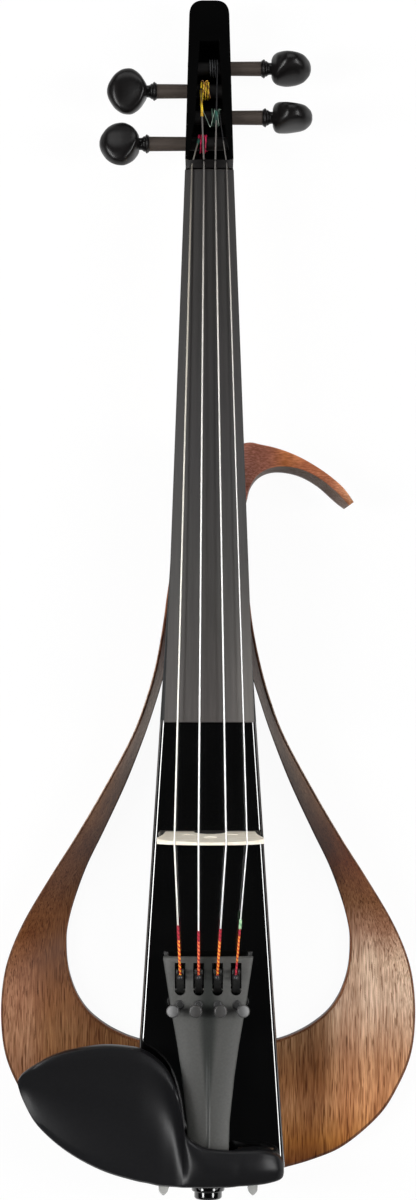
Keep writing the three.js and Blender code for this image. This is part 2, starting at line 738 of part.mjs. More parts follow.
function buildPegbox() {
  const shoulderY = headLength * 0.9;
  const plan = new THREE.Shape();
  plan.moveTo(-headHalfAtNut, 0);
  plan.lineTo(-headHalfAtTip, shoulderY);
  plan.quadraticCurveTo(-headHalfAtTip, headLength, -headHalfAtTip * 0.3, headLength);
  plan.lineTo(headHalfAtTip * 0.3, headLength);
  plan.quadraticCurveTo(headHalfAtTip, headLength, headHalfAtTip, shoulderY);
  plan.lineTo(headHalfAtNut, 0);
  const backShares = [
    [1, -0.35], [0.98, -0.52], [0.9, -0.64], [0.56, -0.8], [0.2, -1], [0.09, -0.95],
  ];
  const frontDepth = headDepth * 0.74;
  const profile = [
    [0, headTopZ],
    [headLength, headTopZ],
    ...backShares.map(([place, depth]) => [headLength * place, headDepth * depth]),
    [frontDepth * Math.tan(headAngle), -frontDepth],
  ];
  const block = common(
    prismAlongZ(plan, -headDepth - overrun, headTopZ + overrun),
    prismAlongX(profile, -headHalfAtNut - overrun, headHalfAtNut + overrun),
  );
  const cavityShares = [[0.035, 0.86], [0.19, 0.73], [0.35, 0.59], [0.67, 0.5], [1, 0.4]];
  const slotEnd = pegboxSlotEnd();
  const flank = cavityShares.map(([place, half]) => [headHalfAtNut * half, slotEnd * place]);
  const cavityPlan = shapeOf([
    [headHalfAtNut * cavityShares[0][1], -overrun],
    ...flank,
    ...flank.toReversed().map(([x, y]) => [-x, y]),
    [-headHalfAtNut * cavityShares[0][1], -overrun],
  ]);
  const cavity = common(
    prismAlongZ(cavityPlan, -pegboxFloorAtNut - overrun, headTopZ + overrun),
    prismAlongX([
      [-overrun, headTopZ + overrun],
      [-overrun, -pegboxFloorAtNut],
      [slotEnd + overrun, -pegboxFloorAtTip],
      [slotEnd + overrun, headTopZ + overrun],
    ], -headHalfAtNut, headHalfAtNut),
  );
  const bores = pegs.map((peg) => {
    const centre = pegCentre(peg);
    const reach = new THREE.Vector3(headHalfAtNut + overrun, 0, 0);
    return rodBetween(
      centre.clone().sub(reach),
      centre.clone().add(reach),
      pegShaftRadius + clearance,
      pegSides,
    );
  });
  addPiece(headGroup, 'pegbox', cut(block, cavity, ...bores), looks.glossBlack);
}

// One section of a peg's head: a rounded oblong between its two flat faces.
function pegHeadRing(x, halfHeight, halfThickness) {
  const squareness = 0.75;
  return Array.from({ length: pegHeadSides }, (_, k) => {
    const turn = (2 * Math.PI * k) / pegHeadSides;
    const [up, out] = [Math.cos(turn), Math.sin(turn)];
    return new THREE.Vector3(
      x,
      halfHeight * Math.sign(up) * Math.abs(up) ** squareness,
      halfThickness * Math.sign(out) * Math.abs(out) ** squareness,
    );
  });
}

// A peg along +X from its far end in the pegbox wall, with its collar and its flat oval head.
function pegGeometry(wallHalf) {
  const collarX = wallHalf + pegReach;
  const headX = collarX + pegCollarLength;
  const shaft = turned([
    [0, -wallHalf],
    [pegTipRadius, -wallHalf],
    [pegShaftRadius, collarX],
    [pegCollarRadius * 0.9, collarX + pegCollarLength * 0.12],
    [pegCollarRadius, collarX + pegCollarLength * 0.27],
    [pegCollarRadius * 0.84, collarX + pegCollarLength * 0.42],
    [pegCollarRadius * 0.8, collarX + pegCollarLength * 0.54],
    [pegNeckRadius, collarX + pegCollarLength * 0.78],
    [pegNeckRadius, headX],
    [0, headX + pegHeadLength * 0.2],
  ], axisX, pegSides);
  const head = loft(pegHeadShares.map(([place, height, thickness]) => pegHeadRing(
    headX + place * pegHeadLength,
    height * pegHeadHeight / 2,
    thickness * pegHeadThickness / 2,
  )));
  return join(shaft, head);
}

// The silk end of a string on its peg: a helix about X that ends straight towards the nut.
class WindingCurve extends THREE.Curve {
  constructor(radius, fromX, toX, endTurn, lead) {
    super();
    this.arcLengthDivisions = windingSteps * windingSteps;
    Object.assign(this, { radius, fromX, toX, endTurn, lead });
    this.helixLength = Math.hypot(2 * Math.PI * radius * windingLoops, toX - fromX);
  }

  getPoint(t, target = new THREE.Vector3()) {
    const place = t * (this.helixLength + 2 * this.lead) - this.lead;
    const share = THREE.MathUtils.clamp(place / this.helixLength, 0, 1);
    const turn = this.endTurn - 2 * Math.PI * windingLoops * (1 - share);
    const past = place - share * this.helixLength;
    return target.set(
      mix(this.fromX, this.toX, share),
      this.radius * Math.cos(turn) - past * Math.sin(turn),
      this.radius * Math.sin(turn) + past * Math.cos(turn),
    );
  }
}

function leastSelfGap(curve, diameter) {
  const count = windingSteps * Math.ceil(windingLoops) * 2;
  const points = curve.getSpacedPoints(count);
  const apart = count / windingLoops / 2;
  let least = Infinity;
  points.forEach((p, i) => points.forEach((q, j) => {
    if (j - i > apart) least = Math.min(least, p.distanceTo(q) - diameter);
  }));
  return least;
}

// Where a string leaves its winding: the tangent from the nut to the top of the winding.
function windingEnd(string) {
  const peg = string.peg;
  const centre = pegCentre(peg);
  const bend = string.nutPoint.clone().applyMatrix4(headGroup.matrixWorld.clone().invert());
  const toBend = new THREE.Vector2(bend.y - centre.y, bend.z - centre.z);
  const radius = pegShaftRadius + clearance + windingTubeRadius;
  const turn = toBend.angle() - Math.acos(radius / toBend.length());
  const x = windingShares[string.index][1] * headHalfAtNut;
  const start = new THREE.Vector3(
    x,
    centre.y + radius * Math.cos(turn) - (windingLead + clearance) * Math.sin(turn),
    centre.z + radius * Math.sin(turn) + (windingLead + clearance) * Math.cos(turn),
  ).applyMatrix4(headGroup.matrixWorld);
  return { radius, turn, start };
}

function buildPegs() {
  pegs.forEach((peg, index) => {
    const centre = pegCentre(peg);
    const wallHalf = headHalfAt(centre.y);
    const piece = addPiece(headGroup, `peg_${peg.name}`, pegGeometry(wallHalf), looks.ebony, centre);
    piece.position.x += peg.side * peg.outShare * pegReach;
    piece.rotation.set(THREE.MathUtils.degToRad(peg.roll), 0, peg.side < 0 ? Math.PI : 0);
    const { radius, turn } = windingEnd(strings[index]);
    const [fromShare, toShare] = windingShares[index];
    const toX = toShare * headHalfAtNut;
    const fromX = toX + Math.sign(fromShare - toShare) * windingPitch * windingLoops;
    const curve = new WindingCurve(radius, fromX, toX, turn, windingLead);
    const gap = leastSelfGap(curve, 2 * windingTubeRadius);
    console.log(`peg_winding_${peg.name} least gap to itself ${gap.toFixed(3)} mm`);
    const steps = Math.round(windingSteps * windingLoops) + 4;
    const tube = closed(tubeAlong(curve, windingTubeRadius, windingSides, steps));
    addPiece(headGroup, `peg_winding_${peg.name}`, tube, peg.look, centre);
  });
}

// Strings, from bass to treble. Places across are shares of the half spread at the nut, of the
// bridge's half width and of the lever places.
const stringTable = [
  { radius: gStringRadius, nutShare: -1, bridgeShare: -0.628, anchorX: -leverOuterX, look: looks.goldString },
  { radius: dStringRadius, nutShare: -0.306, bridgeShare: -0.178, anchorX: -leverInnerX, look: looks.steel },
  { radius: aStringRadius, nutShare: 0.34, bridgeShare: 0.337, anchorX: leverInnerX, look: looks.steel },
  { radius: eStringRadius, nutShare: 1, bridgeShare: 0.729, anchorX: leverOuterX, look: looks.steel },
];
function bridgeTopAt(x) {
  return bridgeStringZ - archDrop(x - bridgeArchX, bridgeArchRadius);
}

const strings = stringTable.map((row, index) => {
  const nutX = row.nutShare * nutSpread;
  const bridgeX = row.bridgeShare * bridgeHalfWidth;
  const nutPoint = new THREE.Vector3(
    nutX,
    clearance + nutLength / 3,
    crownAt(nutX, boardHalfAtNut) + nutRise,
  ).applyMatrix4(neckGroup.matrixWorld);
  const rise = row.nutShare < 0 ? -row.nutShare * bassLean : 0;
  const bridgePoint = new THREE.Vector3(
    bridgeX,
    bridgeY - bridgeFootThickness / 2 + bridgeTopThickness / 2,
    bridgeTopAt(bridgeX) + rise,
  );
  const anchor = new THREE.Vector3(row.anchorX, leverForkY, leverForkZ);
  return { ...row, index, peg: pegs[index], nutPoint, bridgePoint, anchor };
});

// The string's path from its ball behind the lever's fork to the end of its winding.
function stringPoints(string) {
  const towards = string.bridgePoint.clone().sub(string.anchor).normalize();
  const ball = string.anchor.clone().addScaledVector(
    towards,
    -leverForkThickness / 2 - clearance - ballRadius,
  );
  return [ball, string.bridgePoint, string.nutPoint, windingEnd(string).start];
}

function stringTube(string, extra) {
  return wire(stringPoints(string), string.radius + extra);
}

function buildStrings() {
  strings.forEach((string) => {
    const [ballCentre] = stringPoints(string);
    const ball = new THREE.SphereGeometry(ballRadius, 10, 6);
    ball.translate(ballCentre.x, ballCentre.y, ballCentre.z);
    addPiece(violin, `string_${string.peg.name}`, join(stringTube(string, 0), ball), string.look);
  });
}

// Bridge. The outline's half is in shares of the half width and of the height.

function buildBridge() {
  const footZ = coreTopZ - pickupSeatDepth + pickupThickness + 2 * clearance;
  const halfShares = [
    [0.32, 0], [0.85, 0], [0.86, 0.09], [0.89, 0.28], [0.95, 0.45], [1, 0.56], [1, 0.66], [0.94, 0.75],
  ];
  const archShares = [
    [-0.32, 0], [-0.29, 0.11], [-0.19, 0.2], [-0.06, 0.24], [0.06, 0.24], [0.19, 0.2], [0.29, 0.11],
  ];
  const point = ([x, z]) => [bridgeOffsetX + x * bridgeHalfWidth, footZ + z * bridgeHeight];
  const crownShare = 0.8;
  const crown = Array.from({ length: boardSegments + 1 }, (_, i) => {
    const x = bridgeOffsetX + mix(crownShare, -crownShare, i / boardSegments) * bridgeHalfWidth;
    return [x, bridgeTopAt(x)];
  });
  const outline = shapeOf([
    ...halfShares.map(point),
    ...crown,
    ...halfShares.toReversed().map(([x, z]) => point([-x, z])),
    ...archShares.slice(1).map(point),
  ]);
  const heart = new THREE.Path();
  heart.absarc(bridgeOffsetX, footZ + bridgeHeight * 0.55, bridgeHeartRadius, 0, 2 * Math.PI, true);
  outline.holes.push(heart);
  [-1, 1].forEach((side) => {
    const kidney = new THREE.Path();
    kidney.absellipse(
      bridgeOffsetX + side * bridgeHalfWidth * 0.42,
      footZ + bridgeHeight * 0.3,
      bridgeKidneyLength / 2,
      bridgeKidneyHeight / 2,
      0,
      2 * Math.PI,
      true,
    );
    outline.holes.push(kidney);
  });
  const plate = prismAlongY(outline, 0, bridgeFootThickness);
  const place = plate.getAttribute('position');
  for (let i = 0; i < place.count; i += 1) {
    const share = (place.getZ(i) - footZ) / bridgeHeight;
    const thickness = mix(bridgeFootThickness, bridgeTopThickness, share);
    place.setY(i, place.getY(i) * thickness / bridgeFootThickness);
  }
  plate.translate(0, bridgeY - bridgeFootThickness / 2, 0);
  const grooves = strings.map((string) => stringTube(string, clearance));
  addPiece(violin, 'bridge', cut(plate, ...grooves), looks.maple);
  const strip = new THREE.BoxGeometry(2 * pickupHalfWidth, pickupDepth, pickupThickness);
  const stripZ = coreTopZ - pickupSeatDepth + clearance + pickupThickness / 2;
  addPiece(violin, 'pickup_strip', strip, looks.film, new THREE.Vector3(bridgeOffsetX, bridgeY, stripZ));
}

// Tailpiece. Rows: place along it, half width and thickness as shares.
const tailpieceShares = [
  [0, 1, 1],
  [0.12, 0.92, 1],
  [0.25, 0.82, 1],
  [0.4, 0.69, 0.95],
  [0.54, 0.59, 0.9],
  [0.75, 0.48, 0.85],
  [0.9, 0.46, 0.8],
  [0.98, 0.43, 0.75],
  [1, 0.36, 0.6],
];

function tailpieceTopAt(y) {
  return mix(tailpieceHeadZ, tailpieceTailZ, (tailpieceHeadY - y) / tailpieceLength);
}

// The section's top slopes from a low ridge to the edges. Inset shrinks it for the hollow, and sink
// lowers its top.
function tailpieceRing(row, inset, sink = 0) {
  const [place, halfShare, thicknessShare] = row;
  const y = tailpieceHeadY - place * tailpieceLength;
  const half = halfShare * tailpieceHalf - inset;
  const top = tailpieceTopAt(y) - inset - sink;
  const bottom = tailpieceTopAt(y) - thicknessShare * tailpieceThickness - (inset ? overrun : 0);
  const topShares = [[-1, 0.36], [-0.94, 0.26], [-0.5, 0.08], [0, 0], [0.5, 0.08], [0.94, 0.26], [1, 0.36]];
  const upper = topShares.map(([x, drop]) => new THREE.Vector3(
    x * half,
    y,
    top - drop * tailpieceThickness * thicknessShare,
  ));
  return [
    ...upper,
    new THREE.Vector3(half * (inset ? 1 : 0.9), y, bottom),
    new THREE.Vector3(-half * (inset ? 1 : 0.9), y, bottom),
  ];
}

function screwLean(x) {
  return Math.sign(x) * (Math.abs(x) > leverInnerX ? screwOuterLean : screwInnerLean);
}

function buildTailpiece() {
  const edgeRings = [0, 0.3, 1].map((share) => tailpieceRing(
    [share * tailpieceEdgeRound / tailpieceLength, 1, 1],
    0,
    tailpieceEdgeRound * (1 - share) ** 2,
  ));
  const shell = loft([...edgeRings, ...tailpieceShares.slice(1).map((row) => tailpieceRing(row, 0))]);
  const hollowRows = [-0.1, 0.12, 0.25, 0.4].map((place) => {
    const nearest = tailpieceShares.findLast(([start]) => start <= Math.max(place, 0));
    return [place, nearest[1], 1];
  });
  const hollow = loft(hollowRows.map((row) => tailpieceRing(row, tailpieceWall)));
  const slotPlan = (x) => {
    const half = tailpieceSlotWidth / 2;
    const plan = new THREE.Shape();
    plan.absarc(x, tailpieceSlotTailY + half, half, Math.PI, 2 * Math.PI);
    plan.lineTo(x + half, tailpieceSlotHeadY);
    plan.lineTo(x - half, tailpieceSlotHeadY);
    return plan;
  };
  const slots = strings.map(({ anchor }) => prismAlongZ(
    slotPlan(anchor.x),
    tailpieceTailZ - tailpieceThickness,
    tailpieceHeadZ + overrun,
  ));
  const screwHoles = strings.map(({ anchor }) => rodBetween(
    screwAt(anchor.x, -overrun),
    screwAt(anchor.x, screwLength + overrun),
    screwRadius + clearance,
    smallSides,
  ));
  const axleHole = rodBetween(
    new THREE.Vector3(-axleHalfLength - clearance, leverPivotY, leverPivotZ),
    new THREE.Vector3(axleHalfLength + clearance, leverPivotY, leverPivotZ),
    axleRadius + clearance,
    smallSides,
  );
  const tail = tailpieceHeadY - tailpieceLength;
  const cordHoles = [-1, 1].map((side) => rodBetween(
    new THREE.Vector3(side * cordSpread, tail - overrun, cordStartZ()),
    new THREE.Vector3(side * cordSpread, tail + cordSeatDepth, cordStartZ()),
    cordRadius + clearance,
    smallSides,
  ));
  const body = cut(shell, hollow, ...slots, ...screwHoles, axleHole, ...cordHoles);
  addPiece(violin, 'tailpiece', body, looks.tailGrey);
  const axle = rodBetween(
    new THREE.Vector3(-axleHalfLength, 0, 0),
    new THREE.Vector3(axleHalfLength, 0, 0),
    axleRadius,
    smallSides,
  );
  addPiece(violin, 'tuner_axle', axle, looks.steel, new THREE.Vector3(0, leverPivotY, leverPivotZ));
}

// A point on a tuner screw's axis, some way up from the lever's arm.
function screwAt(x, along) {
  const lean = screwLean(x);
  return new THREE.Vector3(x + along * Math.sin(lean), screwY, screwFootZ + along * Math.cos(lean));
}

function leverGeometry() {
  const forkTop = leverForkZ - leverPivotZ + ballRadius * 0.4;
  const forkY = leverForkY - leverPivotY;
  const armZ = screwFootZ - clearance - leverPivotZ;
  const armEnd = leverArmEndY - leverPivotY;
  const forkRoot = forkTop - 2 * ballRadius - clearance;
  const profile = [
    [forkY + leverForkThickness / 2, forkTop],
    [forkY - leverForkThickness / 2, forkTop],
    [forkY - leverForkThickness / 2, forkRoot],
    [-leverBossRadius * 0.5, leverBossRadius * 0.87],
    [-leverBossRadius, armZ],
    [armEnd, armZ],
    [armEnd, armZ - leverArmThickness],
    [-leverBossRadius, armZ - leverArmThickness],
    [0, -leverBossRadius],
    [leverBossRadius, -leverBossRadius * 0.5],
    [forkY + leverForkThickness / 2, forkRoot - leverArmThickness],
  ];
  const body = prismAlongX(profile, -leverWidth / 2, leverWidth / 2);
  const bore = rodBetween(
    new THREE.Vector3(-leverWidth, 0, 0),
    new THREE.Vector3(leverWidth, 0, 0),
    axleRadius + clearance,
    smallSides,
  );
  const notchHalf = 2 * clearance + stringTable[0].radius;
  const notch = boxBetween(
    [-notchHalf, forkY - leverForkThickness, forkTop - 2 * ballRadius],
    [notchHalf, forkY + leverForkThickness, forkTop + overrun],
  );
  return cut(body, bore, notch);
}

function buildTuners() {
  strings.forEach(({ anchor, peg }) => {
    const lean = screwLean(anchor.x);
    const pivot = new THREE.Vector3(anchor.x, leverPivotY, leverPivotZ);
    addPiece(violin, `tuner_lever_${peg.name}`, leverGeometry(), looks.steel, pivot);
    const screw = turned([
      [0, 0],
      [screwRadius * 0.5, screwRadius * 0.3],
      [screwRadius, screwRadius * 0.8],
      [screwRadius, screwLength],
      [0, screwLength],
    ], axisZ, smallSides);
    const screwMesh = addPiece(violin, `tuner_screw_${peg.name}`, screw, looks.chrome, screwAt(anchor.x, 0));
    screwMesh.rotation.y = lean;
    const knob = turned([
      [0, clearance],
      [screwRadius + clearance, clearance],
      [screwRadius + clearance, -knobHeight * 0.5],
      [knobCollarRadius, -knobHeight * 0.5],
      [knobCollarRadius, -knobHeight * 0.5 + knobCollarHeight],
      [knobRadius, -knobHeight * 0.5 + knobCollarHeight],
      [knobRadius, knobHeight * 0.5 - clearance],
      [knobRadius - clearance, knobHeight * 0.5],
      [0, knobHeight * 0.5],
    ], axisZ, roundSides);
    const knobMesh = addPiece(violin, `tuner_knob_${peg.name}`, knob, looks.satinBlack,
      screwAt(anchor.x, screwLength));
    knobMesh.rotation.y = lean;
  });
}

// Saddle, tail cord and end button

function cordStartZ() {
  return saddleTopZ + clearance + cordRadius;
}

// Points round the saddle's tail edge, some way out from it, from upright to level.
function roundSaddle(out) {
  const centreY = coreTailY - clearance + saddleEdgeRadius;
  const centreZ = saddleTopZ - saddleEdgeRadius;
  return [0, 0.25, 0.5, 0.75, 1].map((share) => [
    centreY - (saddleEdgeRadius + out) * Math.cos(share * Math.PI / 2),
    centreZ + (saddleEdgeRadius + out) * Math.sin(share * Math.PI / 2),
  ]);
}

function buildTailEnd() {
  const saddle = prismAlongX([
    [coreTailY - clearance, coreTopZ + clearance],
    [saddleHeadY, coreTopZ + clearance],
    [saddleHeadY, saddleTopZ - clearance],
    [saddleHeadY - cordRadius, saddleTopZ],
    ...roundSaddle(0).toReversed(),
  ], -saddleHalf, saddleHalf);
  addPiece(violin, 'end_saddle', saddle, looks.ebony);

  const loopRadius = buttonNeckRadius + 2 * clearance + cordRadius;
  const cordY = coreTailY - 2 * clearance - cordRadius;
  const tail = tailpieceHeadY - tailpieceLength;
  const leg = (side) => [
    new THREE.Vector3(side * cordSpread, tail + cordSeatDepth - clearance, cordStartZ()),
    new THREE.Vector3(side * cordSpread, tail, cordStartZ()),
    ...roundSaddle(1.3 * clearance + cordRadius).toReversed()
      .map(([y, z]) => new THREE.Vector3(side * cordSpread, y, z)),
    new THREE.Vector3(side * mix(cordSpread, loopRadius, 0.5), cordY, mix(buttonZ, coreTopZ, 0.5)),
  ];
  const around = [0, 0.25, 0.5, 0.75, 1].map((share) => new THREE.Vector3(
    -loopRadius * Math.cos(Math.PI * share),
    cordY,
    buttonZ - loopRadius * Math.sin(Math.PI * share),
  ));
  const path = new THREE.CatmullRomCurve3([...leg(-1), ...around, ...leg(1).toReversed()]);
  addPiece(violin, 'tail_cord', closed(tubeAlong(path, cordRadius, windingSides, cordSteps)), looks.cord);

  const button = turned([
    [0, buttonShankLength],
    [buttonShankRadius, buttonShankLength],
    [buttonShankRadius, -clearance],
    [buttonNeckRadius, -clearance],
    [buttonNeckRadius, -buttonNeckLength],
    [buttonCollarRadius, -buttonNeckLength],
    [buttonCollarRadius, -buttonNeckLength - buttonCollarLength],
    [buttonHeadRadius, -buttonNeckLength - buttonCollarLength],
    [buttonHeadRadius, -buttonNeckLength - buttonCollarLength - buttonHeadLength * 0.8],
    [buttonHeadRadius * 0.85, -buttonNeckLength - buttonCollarLength - buttonHeadLength],
    [0, -buttonNeckLength - buttonCollarLength - buttonHeadLength],
  ], axisY, buttonSides);
  addPiece(violin, 'end_button', button, looks.glossBlack, new THREE.Vector3(0, coreTailY, buttonZ));
}

// Chin rest. Rows along its width: x, high edge, low edge, then heights: top at the low edge, middle
// and high edge, underside at the low and high edges.
const chinShares = [
  [0.004, 0.75, 0.72, 0.55, 0.55, 0.55, 0.35, 0.35],
  [0.022, 0.8, 0.62, 0.62, 0.55, 0.6, 0.34, 0.34],
  [0.067, 0.858, 0.465, 0.68, 0.5, 0.66, 0.28, 0.3],
  [0.137, 0.928, 0.331, 0.72, 0.44, 0.72, 0.22, 0.28],
  [0.225, 0.974, 0.214, 0.74, 0.4, 0.76, 0.18, 0.26],
  [0.331, 1, 0.117, 0.76, 0.38, 0.8, 0.15, 0.26],
  [0.439, 0.984, 0.057, 0.78, 0.38, 0.84, 0.12, 0.28],
  [0.488, 0.952, 0.039, 0.79, 0.4, 0.87, 0.06, 0.3],
  [0.532, 0.893, 0.021, 0.8, 0.44, 0.9, 0, 0.3],
  [0.566, 0.818, 0.016, 0.81, 0.5, 0.92, 0, 0.3],
  [0.595, 0.704, 0.013, 0.82, 0.58, 0.93, 0, 0.32],
  [0.616, 0.55, 0.01, 0.84, 0.7, 0.92, 0.3, 0.4],
  [0.629, 0.397, 0.01, 0.85, 0.82, 0.92, 0.56, 0.56],
  [0.648, 0.348, 0.01, 0.85, 0.92, 0.9, 0.62, 0.62],
  [0.681, 0.31, 0.009, 0.84, 0.97, 0.88, 0.63, 0.63],
  [0.722, 0.284, 0.008, 0.82, 0.98, 0.86, 0.63, 0.63],
  [0.797, 0.27, 0.009, 0.78, 0.95, 0.82, 0.62, 0.62],
  [0.83, 0.27, 0.014, 0.74, 0.92, 0.8, 0.3, 0.3],
  [0.87, 0.27, 0.018, 0.72, 0.9, 0.76, 0, 0],
  [0.924, 0.268, 0.026, 0.66, 0.84, 0.7, 0, 0],
  [0.972, 0.235, 0.045, 0.58, 0.72, 0.62, 0, 0],
  [0.993, 0.186, 0.066, 0.5, 0.58, 0.52, 0.06, 0.06],
  [0.999, 0.144, 0.1, 0.45, 0.48, 0.45, 0.2, 0.2],
];
function chinRing(row) {
  const [place, highShare, lowShare, lowTop, middleTop, highTop, lowUnder, highUnder] = row;
  const x = place * (chinReachLeft + chinReachRight) - chinReachLeft;
  const highY = chinLowY + highShare * chinDepth;
  const lowY = chinLowY + lowShare * chinDepth;
  const bow = middleTop - (lowTop + highTop) / 2;
  const at = (across, share) => new THREE.Vector3(
    x,
    mix(lowY, highY, across),
    chinUnderZ + share * chinHeight,
  );
  const topAt = (across) => mix(lowTop, highTop, across) + 4 * across * (1 - across) * bow;
  const rounding = chinEdgeRound / chinHeight;
  const acrossShares = [0.05, 0.18, 0.34, 0.5, 0.66, 0.82, 0.95];
  const underShares = [0.93, 0.5, 0.07];
  return [
    at(0, topAt(0) - rounding),
    ...acrossShares.map((across) => at(across, topAt(across))),
    at(1, topAt(1) - rounding),
    at(1, highUnder + rounding),
    ...underShares.map((across) => at(across, Math.max(mix(lowUnder, highUnder, across), 0))),
    at(0, lowUnder + rounding),
  ];
}

function buildChinRest() {
  const plate = loft(smoothRows(chinShares, chinStepsPerStation).map(chinRing));
  const seats = [-1, 1].map((side) => boxBetween(
    [side * clampX - bracketHalfWidth - clearance, clampY - overrun, chinUnderZ - overrun],
    [side * clampX + bracketHalfWidth + clearance, bracketHeadY + clearance,
      chinUnderZ + bracketThickness + clearance],
  ));
  addPiece(violin, 'chin_rest', cut(plate, ...seats), looks.satinBlack);
  [-1, 1].forEach((side) => {
    const name = side < 0 ? 'left' : 'right';
    const inner = side * corkInnerX;
    const outer = side * corkOuterX;
    const pad = boxBetween(
      [Math.min(inner, outer), corkTailY, coreTopZ + clearance],
      [Math.max(inner, outer), corkHeadY, coreTopZ + clearance + corkThickness],
    );
    addPiece(violin, `chin_cork_${name}`, pad, looks.cork);

    const tongue = boxBetween(
      [-bracketHalfWidth, 0, 0],
      [bracketHalfWidth, bracketHeadY - clampY, bracketThickness],
    );
    const nose = rodBetween(new THREE.Vector3(), new THREE.Vector3(0, 0, bracketThickness), bracketHalfWidth);
    const post = rodBetween(
      new THREE.Vector3(0, 0, bracketThickness / 2),
      new THREE.Vector3(0, 0, -postLength),
      postRadius,
      smallSides,
    );
    const seat = new THREE.Vector3(side * clampX, clampY, chinUnderZ);
    addPiece(violin, `clamp_bracket_${name}`, join(tongue, nose, post), looks.chrome, seat);

    const barrel = cut(
      rodBetween(new THREE.Vector3(), new THREE.Vector3(0, 0, barrelLength), barrelRadius, smallSides),
      rodBetween(
        new THREE.Vector3(0, 0, -overrun),
        new THREE.Vector3(0, 0, barrelLength + overrun),
        postRadius + clearance,
        smallSides,
      ),
      rodBetween(
        new THREE.Vector3(-barrelRadius - overrun, 0, barrelLength / 2),
        new THREE.Vector3(barrelRadius + overrun, 0, barrelLength / 2),
        postRadius / 2,
        smallSides,
      ),
    );
    const barrelSeat = new THREE.Vector3(side * clampX, clampY, barrelBottomZ);
    addPiece(violin, `clamp_barrel_${name}`, barrel, looks.chrome, barrelSeat);
  });

  const footTopZ = coreBackZ - clearance - footCorkThickness - clearance;
  const footHalf = clampX + bracketHalfWidth;
  const plateFoot = boxBetween(
    [-footHalf, clampY - bracketHalfWidth, footTopZ - footThickness],
    [footHalf, footHeadY, footTopZ],
  );
  const posts = [-1, 1].map((side) => rodBetween(
    new THREE.Vector3(side * clampX, clampY, footTopZ - footThickness / 2),
    new THREE.Vector3(side * clampX, clampY, footTopZ - footThickness / 2 + postLength),
    postRadius,
    smallSides,
  ));
  addPiece(violin, 'clamp_foot', join(plateFoot, ...posts), looks.chrome);
  const cork = boxBetween(
    [-footHalf, coreTailY + coreTailBulge, footTopZ + clearance],
    [footHalf, footHeadY, footTopZ + clearance + footCorkThickness],
  );
  addPiece(violin, 'clamp_cork', cork, looks.cork);
}

// Electronics

function coverScrewPlaces() {
  return [[-1, coverTailY + coverScrewInset], [1, coverTailY + coverScrewInset],
    [-1, coverHeadY - coverScrewInset], [1, coverHeadY - coverScrewInset]]
    .map(([side, y]) => [side * (coverHalf - coverScrewInset + coverScrewMargin), y]);
}

